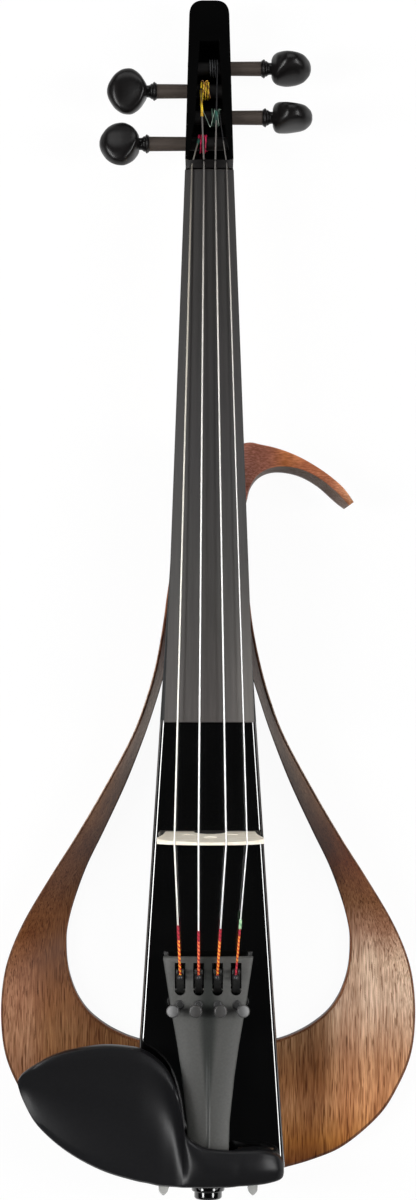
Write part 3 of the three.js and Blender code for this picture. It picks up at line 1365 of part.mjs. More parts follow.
function buildElectronics() {
  const plate = boxBetween(
    [-coverHalf, coverTailY, coreBackZ],
    [coverHalf, coverHeadY, coreBackZ + coverThickness],
  );
  const holeThrough = (x, y, radius, sides = roundSides) => rodBetween(
    new THREE.Vector3(x, y, coreBackZ - overrun),
    new THREE.Vector3(x, y, coreBackZ + coverThickness + overrun),
    radius,
    sides,
  );
  const holes = [
    holeThrough(0, potY, potShaftRadius + clearance),
    holeThrough(0, jackY, jackBushRadius + clearance),
    ...coverScrewPlaces().map(([x, y]) => holeThrough(x, y, coverScrewRadius + clearance, smallSides)),
  ];
  addPiece(violin, 'rear_cover', cut(plate, ...holes), looks.satinBlack);
  coverScrewPlaces().forEach(([x, y], i) => {
    const screw = turned([
      [0, -coverScrewHeadHeight],
      [coverScrewHeadRadius * 0.7, -coverScrewHeadHeight],
      [coverScrewHeadRadius, -coverScrewHeadHeight * 0.4],
      [coverScrewHeadRadius, 0],
      [coverScrewRadius, 0],
      [coverScrewRadius, coverScrewLength - coverScrewRadius],
      [0, coverScrewLength],
    ], axisZ, smallSides);
    const place = new THREE.Vector3(x, y, coreBackZ - clearance);
    addPiece(violin, `cover_screw_${i + 1}`, screw, looks.chrome, place);
  });

  const insideZ = coreBackZ + coverThickness + clearance;
  const pot = turned([
    [0, potShaftEndZ],
    [potShaftRadius, potShaftEndZ],
    [potShaftRadius, insideZ],
    [potBodyRadius, insideZ],
    [potBodyRadius, insideZ + potBodyHeight],
    [0, insideZ + potBodyHeight],
  ], axisZ);
  addPiece(violin, 'volume_pot', pot, looks.steel, new THREE.Vector3(0, potY, 0));
  const capTop = coreBackZ - clearance;
  const cap = turned([
    [0, knobCapBottomZ],
    [knobCapRadius - knobCapEdge, knobCapBottomZ],
    [knobCapRadius, knobCapBottomZ + knobCapEdge],
    [knobCapRadius, capTop],
    [potShaftRadius + clearance, capTop],
    [potShaftRadius + clearance, potShaftEndZ - clearance],
    [0, potShaftEndZ - clearance],
  ], axisZ, buttonSides);
  addPiece(violin, 'volume_knob', cap, looks.satinBlack, new THREE.Vector3(0, potY, 0));

  const jack = turned([
    [0, jackTopZ - jackEndWall],
    [jackBoreRadius, jackTopZ - jackEndWall],
    [jackBoreRadius, jackBottomZ],
    [jackBushRadius, jackBottomZ],
    [jackBushRadius, insideZ],
    [jackBodyRadius, insideZ],
    [jackBodyRadius, jackTopZ],
    [0, jackTopZ],
  ], axisZ);
  addPiece(violin, 'output_jack', jack, looks.chrome, new THREE.Vector3(0, jackY, 0));
  const nutRing = cut(
    rodBetween(new THREE.Vector3(0, 0, -jackNutHeight), new THREE.Vector3(), jackNutRadius, 6),
    rodBetween(
      new THREE.Vector3(0, 0, -jackNutHeight - overrun),
      new THREE.Vector3(0, 0, overrun),
      jackBushRadius + clearance,
    ),
  );
  addPiece(violin, 'jack_nut', nutRing, looks.chrome, new THREE.Vector3(0, jackY, capTop));

  const potTopZ = insideZ + potBodyHeight + clearance;
  const stripZ = coreTopZ - pickupSeatDepth;
  const pickupPath = new THREE.CatmullRomCurve3([
    new THREE.Vector3(0, bridgeY, stripZ),
    new THREE.Vector3(0, bridgeY, cavityTopZ),
    new THREE.Vector3(0, mix(potY, bridgeY, 0.7), mix(potTopZ, cavityTopZ, 0.6)),
    new THREE.Vector3(0, potY, mix(potTopZ, cavityTopZ, 0.25)),
    new THREE.Vector3(0, potY, potTopZ),
  ]);
  const leadAlong = (path) => closed(tubeAlong(path, leadRadius, windingSides, leadSteps));
  addPiece(violin, 'pickup_lead', leadAlong(pickupPath), looks.cord);
  const potSideY = potY - potBodyRadius - clearance;
  const jackSideY = jackY + jackBodyRadius + clearance;
  const lowZ = insideZ + potBodyHeight / 2;
  const highZ = mix(insideZ, jackTopZ, 0.7);
  const jackPath = new THREE.CatmullRomCurve3([
    new THREE.Vector3(0, potSideY, lowZ),
    new THREE.Vector3(0, mix(potSideY, jackSideY, 0.2), lowZ),
    new THREE.Vector3(0, mix(potSideY, jackSideY, 0.8), highZ),
    new THREE.Vector3(0, jackSideY, highZ),
  ]);
  addPiece(violin, 'jack_lead', leadAlong(jackPath), looks.cord);
}

buildFrame();
buildCore();
buildNeck();
buildPegbox();
buildPegs();
buildStrings();
buildBridge();
buildTailpiece();
buildTuners();
buildTailEnd();
buildChinRest();
buildElectronics();

export default violin;
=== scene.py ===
import json
import math

import bmesh
import bpy
from mathutils import Matrix, Vector


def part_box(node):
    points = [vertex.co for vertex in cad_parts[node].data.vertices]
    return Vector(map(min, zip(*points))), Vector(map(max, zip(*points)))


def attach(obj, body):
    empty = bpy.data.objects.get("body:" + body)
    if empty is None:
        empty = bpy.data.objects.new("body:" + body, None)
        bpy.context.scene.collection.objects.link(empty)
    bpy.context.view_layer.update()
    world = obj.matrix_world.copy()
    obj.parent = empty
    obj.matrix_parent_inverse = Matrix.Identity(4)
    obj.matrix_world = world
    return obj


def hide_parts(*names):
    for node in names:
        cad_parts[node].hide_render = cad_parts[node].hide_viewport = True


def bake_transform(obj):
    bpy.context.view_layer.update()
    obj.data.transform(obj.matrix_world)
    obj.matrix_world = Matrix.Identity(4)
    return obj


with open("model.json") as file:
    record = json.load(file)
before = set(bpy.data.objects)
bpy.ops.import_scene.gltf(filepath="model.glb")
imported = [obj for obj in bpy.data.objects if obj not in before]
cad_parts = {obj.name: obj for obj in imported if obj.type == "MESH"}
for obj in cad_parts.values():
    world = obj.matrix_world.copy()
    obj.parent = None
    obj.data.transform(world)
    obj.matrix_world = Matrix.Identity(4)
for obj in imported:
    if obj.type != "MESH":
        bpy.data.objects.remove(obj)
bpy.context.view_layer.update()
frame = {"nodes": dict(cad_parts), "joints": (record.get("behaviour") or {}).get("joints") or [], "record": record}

NODES = frame["nodes"]
RECORD = frame["record"]
BODY_OF = {n: b for b, names in RECORD["behaviour"]["bodies"].items() for n in names}
SLOT_OF = {s["node"]: s["material_slot"] for s in RECORD["subparts"]}
JOINT = {j["name"]: j for j in frame["joints"]}
MM = 0.001

# Camera: straight above the strings, with the photograph's perspective

CAMERA_PLACE = (0.0002, 0.25, 1.65)
LENS_MM, SENSOR_MM = 98.7, 36
NEAREST, FARTHEST = 0.05, 20

camera_data = bpy.data.cameras.new("camera")
camera_data.lens, camera_data.sensor_width = LENS_MM, SENSOR_MM
camera_data.clip_start, camera_data.clip_end = NEAREST, FARTHEST
camera = bpy.data.objects.new("camera", camera_data)
camera.location = CAMERA_PLACE
bpy.context.scene.collection.objects.link(camera)
bpy.context.scene.camera = camera


# Colours and materials

WHITE = (1, 1, 1, 1)


def rgb(red, green, blue):
    """A display colour, 0 to 255, as linear light."""
    def linear(value):
        value /= 255
        return value / 12.92 if value <= 0.04045 else ((value + 0.055) / 1.055) ** 2.4
    return (linear(red), linear(green), linear(blue), 1)


class Paint:
    """A node material around one Principled shader."""

    def __init__(self, name, rough=0.5, metal=0.0, coat=0.0, coat_rough=0.05, specular=0.5):
        self.material = bpy.data.materials.new(name)
        self.material.use_nodes = True
        self.tree = self.material.node_tree
        self.tree.nodes.clear()
        self.out = self.node("OutputMaterial")
        self.shader = self.node("BsdfPrincipled")
        self.link(self.shader.outputs[0], self.out.inputs[0])
        for socket, value in (("Roughness", rough), ("Metallic", metal), ("Coat Weight", coat),
                              ("Coat Roughness", coat_rough), ("Specular IOR Level", specular)):
            self.shader.inputs[socket].default_value = value
        self.place = self.node("TexCoord").outputs["Object"]

    def node(self, kind):
        return self.tree.nodes.new(f"ShaderNode{kind}")

    def link(self, a, b):
        self.tree.links.new(a, b)

    def feed(self, socket, value):
        """Links another node's output to a socket, or sets a plain value there."""
        if hasattr(value, "links"):
            self.link(value, socket)
        else:
            socket.default_value = value

    def noise(self, scale, stretch=(1, 1, 1), detail=3, rough=0.5, distort=0.0):
        mapping = self.node("Mapping")
        mapping.inputs["Scale"].default_value = stretch
        self.link(self.place, mapping.inputs["Vector"])
        texture = self.node("TexNoise")
        for socket, value in (("Vector", mapping.outputs[0]), ("Scale", scale), ("Detail", detail),
                              ("Roughness", rough), ("Distortion", distort)):
            self.feed(texture.inputs[socket], value)
        return texture.outputs["Fac"]

    def wave(self, direction, scale, distort=0.0):
        texture = self.node("TexWave")
        texture.bands_direction = direction
        for socket, value in (("Vector", self.place), ("Scale", scale), ("Distortion", distort)):
            self.feed(texture.inputs[socket], value)
        return texture.outputs[1]

    def ramp(self, factor, *stops):
        node = self.node("ValToRGB")
        elements = node.color_ramp.elements
        while len(elements) < len(stops):
            elements.new(0.5)
        for element, (place, colour) in zip(elements, stops):
            element.position = place
            element.color = colour
        self.link(factor, node.inputs[0])
        return node.outputs[0]

    def mix(self, factor, a, b, blend="MIX"):
        node = self.node("Mix")
        node.data_type = "RGBA"
        node.blend_type = blend
        colours = [socket for socket in node.inputs if socket.type == "RGBA"]
        for socket, value in zip((node.inputs[0], *colours), (factor, a, b)):
            self.feed(socket, value)
        return node.outputs[2]

    def tint(self, tone, *layers):
        """A tone multiplied by layers of colour."""
        for layer in layers:
            tone = self.mix(1.0, tone, layer, "MULTIPLY")
        return tone

    def span(self, value, low, high, to_low=0.0, to_high=1.0, smooth=True):
        """The share of a value between two places, as a number between two results."""
        node = self.node("MapRange")
        node.interpolation_type = "SMOOTHSTEP" if smooth else "LINEAR"
        for socket, number in (("Value", value), ("From Min", low), ("From Max", high), ("To Min", to_low),
                               ("To Max", to_high)):
            self.feed(node.inputs[socket], number)
        return node.outputs[0]

    def tones(self, value, *stops):
        """Display colours at places along a value, with straight blends between them."""
        low, high = stops[0][0], stops[-1][0]
        share = self.span(value, low, high, smooth=False)
        return self.ramp(share, *[((place - low) / (high - low), rgb(*colour)) for place, colour in stops])

    def axis(self, letter):
        node = self.node("SeparateXYZ")
        self.link(self.place, node.inputs[0])
        return node.outputs[letter]

    def math(self, operation, a, b=0.0):
        node = self.node("Math")
        node.operation = operation
        self.feed(node.inputs[0], a)
        self.feed(node.inputs[1], b)
        return node.outputs[0]

    def times(self, first, *others):
        for other in others:
            first = self.math("MULTIPLY", first, other)
        return first

    def colour(self, output):
        self.link(output, self.shader.inputs["Base Color"])

    def bump(self, height, distance, strength=1.0):
        node = self.node("Bump")
        for socket, value in (("Distance", distance), ("Strength", strength), ("Height", height)):
            self.feed(node.inputs[socket], value)
        self.link(node.outputs[0], self.shader.inputs["Normal"])


# A noise's dark and light ends for a plain two-tone finish
WANDER = 0.3, 0.7


def two_tone(paint, factor, dark, light, ends=WANDER):
    return paint.ramp(factor, (ends[0], rgb(*dark)), (ends[1], rgb(*light)))


def tinted(name, dark, light, scale=300, stretch=(1, 1, 1), rough=0.5, metal=0.0, coat=0.0, bump=0.0, specular=0.5):
    """A finish whose tone wanders between two near colours."""
    paint = Paint(name, rough, metal, coat, specular=specular)
    wander = paint.noise(scale, stretch)
    paint.colour(two_tone(paint, wander, dark, light))
    if bump:
        paint.bump(wander, bump)
    return paint.material


# Walnut tones by the place along Y, and along X for the shoulder hook, in metres. Painted light is in them: the
# bright stops near 0.205 light the upper arms and their inner walls, where the core shades them, and the right
# bout's pale stretch from 0.05 to 0.07 is partly the wood's own tone and partly a painted sheen
FACE_LEFT = (
    (-0.040, (118, 80, 54)), (0.000, (150, 106, 76)), (0.020, (160, 122, 94)), (0.035, (150, 116, 90)),
    (0.052, (150, 110, 84)), (0.070, (124, 84, 58)), (0.085, (117, 75, 43)), (0.110, (106, 72, 50)),
    (0.125, (104, 66, 40)), (0.160, (124, 90, 62)), (0.205, (202, 178, 158)), (0.225, (150, 96, 66)),
    (0.245, (140, 92, 72)), (0.262, (166, 104, 70)),
)
FACE_RIGHT = (
    (-0.030, (122, 74, 36)), (-0.020, (164, 110, 54)), (0.000, (188, 138, 96)), (0.020, (174, 132, 98)),
    (0.050, (196, 172, 150)), (0.070, (206, 182, 158)), (0.086, (162, 126, 102)), (0.100, (132, 94, 65)),
    (0.120, (104, 56, 28)), (0.135, (114, 68, 40)), (0.165, (168, 134, 104)), (0.205, (228, 198, 174)),
    (0.235, (140, 92, 72)), (0.262, (166, 104, 70)),
)
STRIP = (
    (0.095, (96, 66, 48)), (0.120, (124, 98, 82)), (0.150, (176, 158, 142)), (0.200, (186, 168, 152)),
    (0.260, (120, 72, 52)),
)
EDGE_LINE = (
    (0.090, (104, 72, 52)), (0.130, (84, 60, 46)), (0.200, (74, 54, 44)), (0.262, (120, 74, 54)),
)
# The stops from 0.165 to 0.240 are painted light on the inner walls, where the core shades them
INNER_WALL = (
    (-0.040, (170, 120, 86)), (0.100, (150, 104, 76)), (0.130, (140, 100, 74)), (0.165, (170, 136, 112)),
    (0.200, (212, 190, 174)), (0.240, (140, 130, 122)), (0.262, (136, 126, 120)),
)
OUTSIDE = (
    (-0.040, (150, 106, 74)), (0.100, (136, 92, 64)), (0.200, (128, 86, 60)), (0.262, (132, 84, 58)),
)
HOOK_ALONG = (
    (-0.020, (146, 96, 68)), (0.012, (166, 110, 84)),
    (0.018, (226, 158, 142)), (0.030, (218, 146, 124)), (0.038, (238, 154, 98)), (0.048, (230, 144, 100)),
    (0.060, (200, 126, 90)), (0.071, (176, 136, 104)),
)


# The two arms' tones meet at X 0, and the shoulder hook's tones begin along Y
ARMS_MEET = 0.004
HOOK_SPAN = 0.236, 0.262
# Painted shade and light: from, to, and the result at each. The left bout darkens towards the core, up to a place
# along Y, and the right one too, but less so at the tail
LEFT_SHADE, LEFT_SHADE_ENDS = (-0.072, -0.093, 0.76, 1.12), (0.095, 0.075)
RIGHT_SHADE, RIGHT_TAIL_SHADE, RIGHT_TAIL = (0.057, 0.069, 0.54, 1.04), (0.057, 0.069, 0.42, 0.0), (0.025, -0.030)
SHADE_GAIN = 1.5
# Warm tints inside each bout: span across, spans along, tint
LEFT_WARM = (-0.092, -0.078), ((0.095, 0.055),), (0.80, 0.69, 0.50, 1)
RIGHT_WARM = (0.068, 0.054), ((-0.005, 0.012), (0.125, 0.095)), (0.96, 0.84, 0.66, 1)
# Grain layers: scale, stretch, detail, roughness, distortion, dark end and its tone, light end
GRAIN = (
    (110, 0.06, 2, 0.5, 0.5, 0.34, (226, 216, 210), 0.62),
    (1000, 0.05, 3, 0.6, 0.3, 0.36, (222, 212, 206), 0.6),
    (2000, 0.04, 2, 0.6, 0.0, 0.36, (206, 196, 190), 0.62),
)
PORES, PORE_ENDS, PORE_TONE = (1700, 0.05, 1, 0.4), (0.585, 0.65), (186, 172, 162)
RELIEF, RELIEF_HEIGHT, RELIEF_STRENGTH = (1500, 0.03, 2, 0.6), 0.00004, 0.5
# The painted shade along a wall's foot: the softness of its edge, in metres, and its colour
FOOT_SHADE_BLEND, FOOT_SHADE_TONE = 0.001, (52, 38, 30)


def walnut_material(name, tones_left, tones_right, hook_tones=HOOK_ALONG, foot_shade_height=None):
    """Walnut: grain along the frame's length, across the shoulder hook, and tones by the place on the frame, with
    painted light and shade in them.

    The last argument is the height under which a wall takes a painted shade.
    """
    paint = Paint(name, rough=0.45, specular=0.12)
    across, along = paint.axis("X"), paint.axis("Y")
    hook = paint.span(along, *HOOK_SPAN)
    right = paint.span(across, -ARMS_MEET, ARMS_MEET)
    left = paint.math("SUBTRACT", 1.0, right)

    def grain(scale, stretch, detail, rough, distort=0.0):
        upright = paint.noise(scale, (1, stretch, 1), detail, rough, distort)
        level = paint.noise(scale, (stretch, 1, 1), detail, rough, distort)
        return paint.mix(hook, upright, level)

    tone = paint.mix(right, paint.tones(along, *tones_left), paint.tones(along, *tones_right))
    if hook_tones:
        tone = paint.mix(hook, tone, paint.tones(across, *hook_tones))
    # Painted shade along the wall's foot
    if foot_shade_height:
        below = paint.span(paint.axis("Z"), foot_shade_height + FOOT_SHADE_BLEND, foot_shade_height - FOOT_SHADE_BLEND)
        tone = paint.mix(below, tone, rgb(*FOOT_SHADE_TONE))
    # Painted shade and light across each bout
    change = paint.math("SUBTRACT", paint.span(across, *LEFT_SHADE), 1.0)
    shade_left = paint.math("ADD", 1.0, paint.times(change, paint.span(along, *LEFT_SHADE_ENDS)))
    at_tail = paint.times(paint.span(along, *RIGHT_TAIL), paint.span(across, *RIGHT_TAIL_SHADE))
    shade_right = paint.math("ADD", paint.span(across, *RIGHT_SHADE), at_tail)
    shade = paint.math("ADD", paint.times(shade_left, left), paint.times(shade_right, right))
    tone = paint.tint(tone, paint.times(shade, SHADE_GAIN))
    for arm, (place, stretches, warm) in ((left, LEFT_WARM), (right, RIGHT_WARM)):
        share = paint.times(paint.span(across, *place), arm, *[paint.span(along, *ends) for ends in stretches])
        tone = paint.tint(tone, paint.mix(share, WHITE, warm))
    for *pattern, dark_end, dark, light_end in GRAIN:
        tone = paint.tint(tone, paint.ramp(grain(*pattern), (dark_end, rgb(*dark)), (light_end, WHITE)))
    pores = paint.ramp(grain(*PORES), (PORE_ENDS[0], WHITE), (PORE_ENDS[1], rgb(*PORE_TONE)))
    paint.colour(paint.tint(tone, paint.mix(hook, pores, WHITE)))
    paint.bump(grain(*RELIEF), RELIEF_HEIGHT, RELIEF_STRENGTH)
    return paint.material


# Along Y, in metres: where a string's ball end stops, how fast its silk begins, and a tint that darkens to the nut
BALL_STOPS, SILK_BLEND = (0.0686, 0.0692), 0.001
STRING_TINT = (0.19, (255, 255, 255)), (0.40, (220, 214, 206)), (0.455, (128, 124, 120))
STRING_DARK, STRING_TURNS = (46, 46, 48), 900
GOLD_WIRE = (206, 203, 194), (250, 248, 240)
STEEL_WIRE = (206, 206, 206), (255, 255, 255)


def string_material(name, dark, light, silk_from):
    """Wound metal along Y, with a dark ball at the tail and dark silk from a place on towards the peg."""
    paint = Paint(name, rough=0.3, metal=0.35)
    along = paint.axis("Y")
    wire = two_tone(paint, paint.wave("Y", STRING_TURNS), dark, light, (0.0, 1.0))
    silk = paint.span(along, silk_from, silk_from + SILK_BLEND, 1.0, 0.0)
    bare = paint.times(paint.span(along, *BALL_STOPS), silk)
    wire = paint.tint(wire, paint.tones(along, *STRING_TINT))
    paint.colour(paint.mix(bare, rgb(*STRING_DARK), wire))
    return paint.material


SILK_WAVER, SILK_ENDS = 0.6, (0.35, 0.65)


def silk_material(name, first, second, turns=180):
    """Silk thread laid round a string, in two tones that wind along it."""
    paint = Paint(name, rough=0.7)
    paint.colour(two_tone(paint, paint.wave("DIAGONAL", turns, SILK_WAVER), first, second, SILK_ENDS))
    return paint.material


# Tones along Y: the board's black, with painted light that greys it towards the body
BOARD_PAINTED_LIGHT_TONES = (
    (0.195, (70, 66, 64)), (0.25, (60, 58, 56)), (0.32, (50, 48, 48)), (0.40, (40, 38, 37)), (0.47, (36, 34, 33)),
)
# A painted sheen along the treble edge: where across X, where along Y, and its colour
BOARD_EDGE, BOARD_EDGE_ALONG, BOARD_EDGE_SHEEN = (0.006, 0.022), (0.28, 0.19), (100, 96, 92)


def board_material():
    """Satin black board, with painted light that greys it towards the body and a painted sheen along its treble edge.
    """
    paint = Paint("fingerboard_satin", rough=0.55, specular=0.22)
    along = paint.axis("Y")
    # A painted sheen along the treble edge
    edge = paint.times(paint.span(paint.axis("X"), *BOARD_EDGE), paint.span(along, *BOARD_EDGE_ALONG))
    tone = paint.mix(edge, paint.tones(along, *BOARD_PAINTED_LIGHT_TONES), rgb(*BOARD_EDGE_SHEEN))
    lines = two_tone(paint, paint.noise(700, (1, 0.02, 1)), (232, 232, 232), (255, 255, 255))
    paint.colour(paint.tint(tone, lines))
    return paint.material


# Along Y from and to, and there: half the width of the fold's painted shade, X of the bass edge
TAILPIECE_FOLD_SHADE, FOLD_CORE = (0.0, 0.052, 0.0006, 0.0075), 0.2
TAILPIECE_EDGE = -0.012, 0.076, -0.0105, -0.024
# The width of the painted edge shade, its share of light, the ridge's half width and where it rises along Y
EDGE_SHADE_WIDTH, EDGE_SHADE, RIDGE_HALF, RIDGE_ALONG, RIDGE_HEIGHT = 0.0055, 0.45, 0.0012, (0.04, 0.01), 0.0004


def tailpiece_material():
    """Satin grey tailpiece with painted light and shade: two lit flanks, a shaded fold that narrows to a ridge
    at the tail, and shade along the bass edge.
    """
    paint = Paint("tailpiece_satin", rough=0.45, specular=0.25)
    along, across = paint.axis("Y"), paint.axis("X")
    offset = paint.math("ABSOLUTE", across)
    fold = paint.span(along, *TAILPIECE_FOLD_SHADE, smooth=False)
    flank = paint.span(offset, paint.times(fold, FOLD_CORE), fold)
    edge = paint.span(along, *TAILPIECE_EDGE, smooth=False)
    inside = paint.span(across, edge, paint.math("ADD", edge, EDGE_SHADE_WIDTH))
    # Painted shade in the fold and along the bass edge, painted light on the flanks
    shade = paint.times(flank, paint.math("ADD", paint.times(inside, 1 - EDGE_SHADE), EDGE_SHADE))
    speckle = paint.noise(900)
    light = two_tone(paint, speckle, (70, 70, 68), (77, 77, 75))
    dark = two_tone(paint, speckle, (38, 40, 38), (43, 45, 43))
    paint.colour(paint.mix(shade, dark, light))
    ridge = paint.times(paint.span(offset, 0.0, RIDGE_HALF, 1.0, 0.0), paint.span(along, *RIDGE_ALONG))
    paint.bump(ridge, RIDGE_HEIGHT, 0.8)
    return paint.material


PEGBOX_WALL = 0.0094, 0.0106


def peg_shaft_material():
    """Ebony shaft, in shade where it crosses the pegbox."""
    paint = Paint("peg_shaft", rough=0.6, specular=0.12)
    outside = paint.span(paint.math("ABSOLUTE", paint.axis("X")), *PEGBOX_WALL)
    grain = paint.noise(500, (0.06, 1, 1))
    bare = two_tone(paint, grain, (56, 49, 45), (70, 62, 56))
    shaded = two_tone(paint, grain, (12, 11, 11), (18, 16, 15))
    paint.colour(paint.mix(outside, shaded, bare))
    return paint.material


# Along Y, the lacquer is dull from the board's end to behind the core's heel
BOARD_SHADE_FROM, BOARD_SHADE_TO = (0.189, 0.192), (0.345, 0.335)
POLISHED, DULL = 0.12, 0.6


def lacquer_material():
    """Deep black lacquer, polished where it is bare and dull in the board's shade."""
    paint = Paint("black_lacquer", coat_rough=0.02, specular=0.4)
    paint.shader.inputs["Coat IOR"].default_value = 1.8
    along = paint.axis("Y")
    shaded = paint.times(paint.span(along, *BOARD_SHADE_FROM), paint.span(along, *BOARD_SHADE_TO))
    paint.link(paint.span(shaded, 0.0, 1.0, POLISHED, DULL), paint.shader.inputs["Roughness"])
    paint.link(paint.span(along, *BOARD_SHADE_FROM, 1.0, 0.0), paint.shader.inputs["Coat Weight"])
    paint.colour(two_tone(paint, paint.noise(40), (3, 3, 3), (6, 6, 6)))
    return paint.material


LOOK = {
    "walnut": walnut_material("walnut_face", FACE_LEFT, FACE_RIGHT),
    "black_lacquer": lacquer_material(),
    "neck_maple": tinted("neck_maple", (196, 168, 124), (222, 198, 156), 120, (1, 0.08, 1), 0.5, bump=0.00002),
    "bridge_maple": tinted("bridge_maple", (236, 224, 202), (252, 246, 232), 500, (0.2, 1, 1), 0.6, bump=0.00002),
    "fingerboard": board_material(),
    "ebony": tinted("ebony", (12, 11, 11), (18, 16, 16), 500, (0.1, 1, 1), 0.3, specular=0.22),
    "gloss_black": tinted("gloss_black", (4, 4, 4), (7, 6, 6), 60, rough=0.12, coat=0.7),
    "tailpiece": tailpiece_material(),
    "satin_black": tinted("satin_black", (13, 13, 15), (17, 17, 19), 800, rough=0.36, bump=0.00001, specular=0.24),
    "chrome": tinted("chrome", (205, 206, 208), (232, 232, 232), 90, rough=0.12, metal=1.0),
    "steel": tinted("steel", (150, 150, 148), (190, 190, 188), 300, rough=0.28, metal=1.0),
    "string_gold": string_material("string_gold", *GOLD_WIRE, 0.4785),
    "string_steel": string_material("string_steel", *STEEL_WIRE, 0.4868),
    "silk_crimson": silk_material("silk_crimson", (176, 10, 60), (226, 26, 88)),
    "silk_yellow": silk_material("silk_yellow", (196, 150, 14), (240, 206, 40)),
    "silk_dark": silk_material("silk_dark", (22, 24, 26), (44, 46, 48)),
    "silk_green": silk_material("silk_green", (30, 58, 48), (70, 104, 88)),
    "cork": tinted("cork", (64, 50, 36), (92, 72, 50), 900, rough=0.9, bump=0.0001),
    "black_cord": tinted("black_cord", (14, 14, 14), (28, 28, 28), 900, rough=0.5),
    "pickup_film": tinted("pickup_film", (14, 13, 12), (22, 20, 19), 200, rough=0.4),
}
STRING_LOOK = {
    "g": LOOK["string_gold"],
    "d": LOOK["string_steel"],
    "a": string_material("string_a_steel", *STEEL_WIRE, 0.4865),
    "e": string_material("string_e_steel", *STEEL_WIRE, 0.474),
}
# The height under which the walnut wall takes a painted shade, in metres
WALL_FOOT_SHADE_HEIGHT = 0.005
WALNUT_PARTS = (
    LOOK["walnut"],
    walnut_material("walnut_strip", STRIP, STRIP),
    walnut_material("walnut_wall", INNER_WALL, INNER_WALL, None, WALL_FOOT_SHADE_HEIGHT),
    walnut_material("walnut_line", EDGE_LINE, EDGE_LINE),
    walnut_material("walnut_outside", OUTSIDE, OUTSIDE, None),
)
PEG_SHAFT = peg_shaft_material()
# One knob finish in two copies: the outer knobs take a lighter one as painted light, the inner ones a darker one as
# painted shade
KNOB_OUTER_LIT = tinted("tuner_knob_outer_lit", (62, 62, 62), (72, 72, 72), 600, rough=0.35)
KNOB_INNER_SHADED = tinted("tuner_knob_inner_shaded", (50, 49, 48), (58, 57, 56), 600, rough=0.35)
LEVER_STEEL = tinted("tuner_lever_steel", (44, 44, 44), (62, 62, 60), 400, rough=0.35, metal=0.8)
TUNER_BOSS = tinted("tuner_boss", (26, 26, 26), (34, 34, 34), 400, rough=0.5)
BRACKET_CHROME = tinted("bracket_chrome", (226, 226, 222), (250, 250, 246), 90, rough=0.15, metal=0.5)


# Geometry helpers

WELD = 3e-6
NO_RADIUS = 1e-6


def circle(sides):
    """The cosine and sine of each corner of a regular ring."""
    return [(math.cos(2 * math.pi * k / sides), math.sin(2 * math.pi * k / sides)) for k in range(sides)]


def in_metres(profile):
    return [(along * MM, radius * MM) for along, radius in profile]


def welded(node):
    """A CAD node's mesh with its doubled points joined."""
    bm = bmesh.new()
    bm.from_mesh(NODES[node].data)
    bmesh.ops.remove_doubles(bm, verts=bm.verts, dist=WELD)
    return bm


def settle(name, bm, material, body, stands_for=(), angle=35, bevel=0.0, segments=3, bend=None):
    """Turns a bmesh into a piece that rides on a body, or, given a bend, a piece left riding on none."""
    bmesh.ops.recalc_face_normals(bm, faces=bm.faces)
    for face in bm.faces:
        face.smooth = True
    limit = math.radians(angle)
    for edge in bm.edges:
        if len(edge.link_faces) == 2:
            edge.smooth = edge.calc_face_angle(0) < limit
    mesh = bpy.data.meshes.new(name)
    bm.to_mesh(mesh)
    bm.free()
    for layer in material if isinstance(material, tuple) else (material,):
        mesh.materials.append(layer)
    piece = bpy.data.objects.new(name, mesh)
    bpy.context.scene.collection.objects.link(piece)
    if bevel:
        rounding = piece.modifiers.new("edges", "BEVEL")
        rounding.width = bevel
        rounding.segments = segments
        rounding.limit_method = "ANGLE"
        rounding.angle_limit = limit
        rounding.use_clamp_overlap = True
        rounding.harden_normals = False
        weigh = piece.modifiers.new("normals", "WEIGHTED_NORMAL")
        weigh.keep_sharp = False
    if bend:
        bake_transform(piece)
    else:
        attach(piece, body)
    if stands_for:
        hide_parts(*stands_for)
    return piece


def dress(node, material=None, bevel=0.0, angle=35, segments=3, flat=0.6, bend=None):
    """A finer skin of a CAD node: welded, flat faces made whole, and edges rounded."""
    bm = welded(node)
    if flat:
        bmesh.ops.dissolve_limit(bm, angle_limit=math.radians(flat), verts=bm.verts, edges=bm.edges)
    slot = SLOT_OF[node]
    return settle(f"{node}_skin", bm, material or LOOK[slot], BODY_OF[node], (node,), angle, bevel, segments,
                  bend)


def add_rings(bm, rings):
    """Quads through rings of equal count, in metres, closed at both ends."""
    rows = [[bm.verts.new(point) for point in ring] for ring in rings]
    count = len(rows[0])
    for a, b in zip(rows, rows[1:]):
        for i in range(count):
            j = (i + 1) % count
            bm.faces.new((a[i], a[j], b[j], b[i]))
    bm.faces.new(rows[0][::-1])
    bm.faces.new(rows[-1])


def add_turned(bm, profile, sides, matrix, wave=None):
    """A turned solid about local X from a profile of (place along, radius), closed on the axis.

    The wave is a factor on the radius by the place along and the number of the corner.
    """
    rings = []
    for along, radius in profile:
        ring = []
        for k, (cosine, sine) in enumerate(circle(sides)):
            reach = max(radius, NO_RADIUS) * (wave(along, k) if wave else 1)
            ring.append(matrix @ Vector((along, reach * cosine, reach * sine)))
        rings.append(ring)
    add_rings(bm, rings)


def add_tube(bm, line, radius, sides):
    """A tube round places with their two side directions, and a factor on the radius at each."""
    corners = circle(sides)
    add_rings(bm, [[middle + (side * cosine + flank * sine) * radius * size for cosine, sine in corners]
                   for middle, side, flank, size in line])


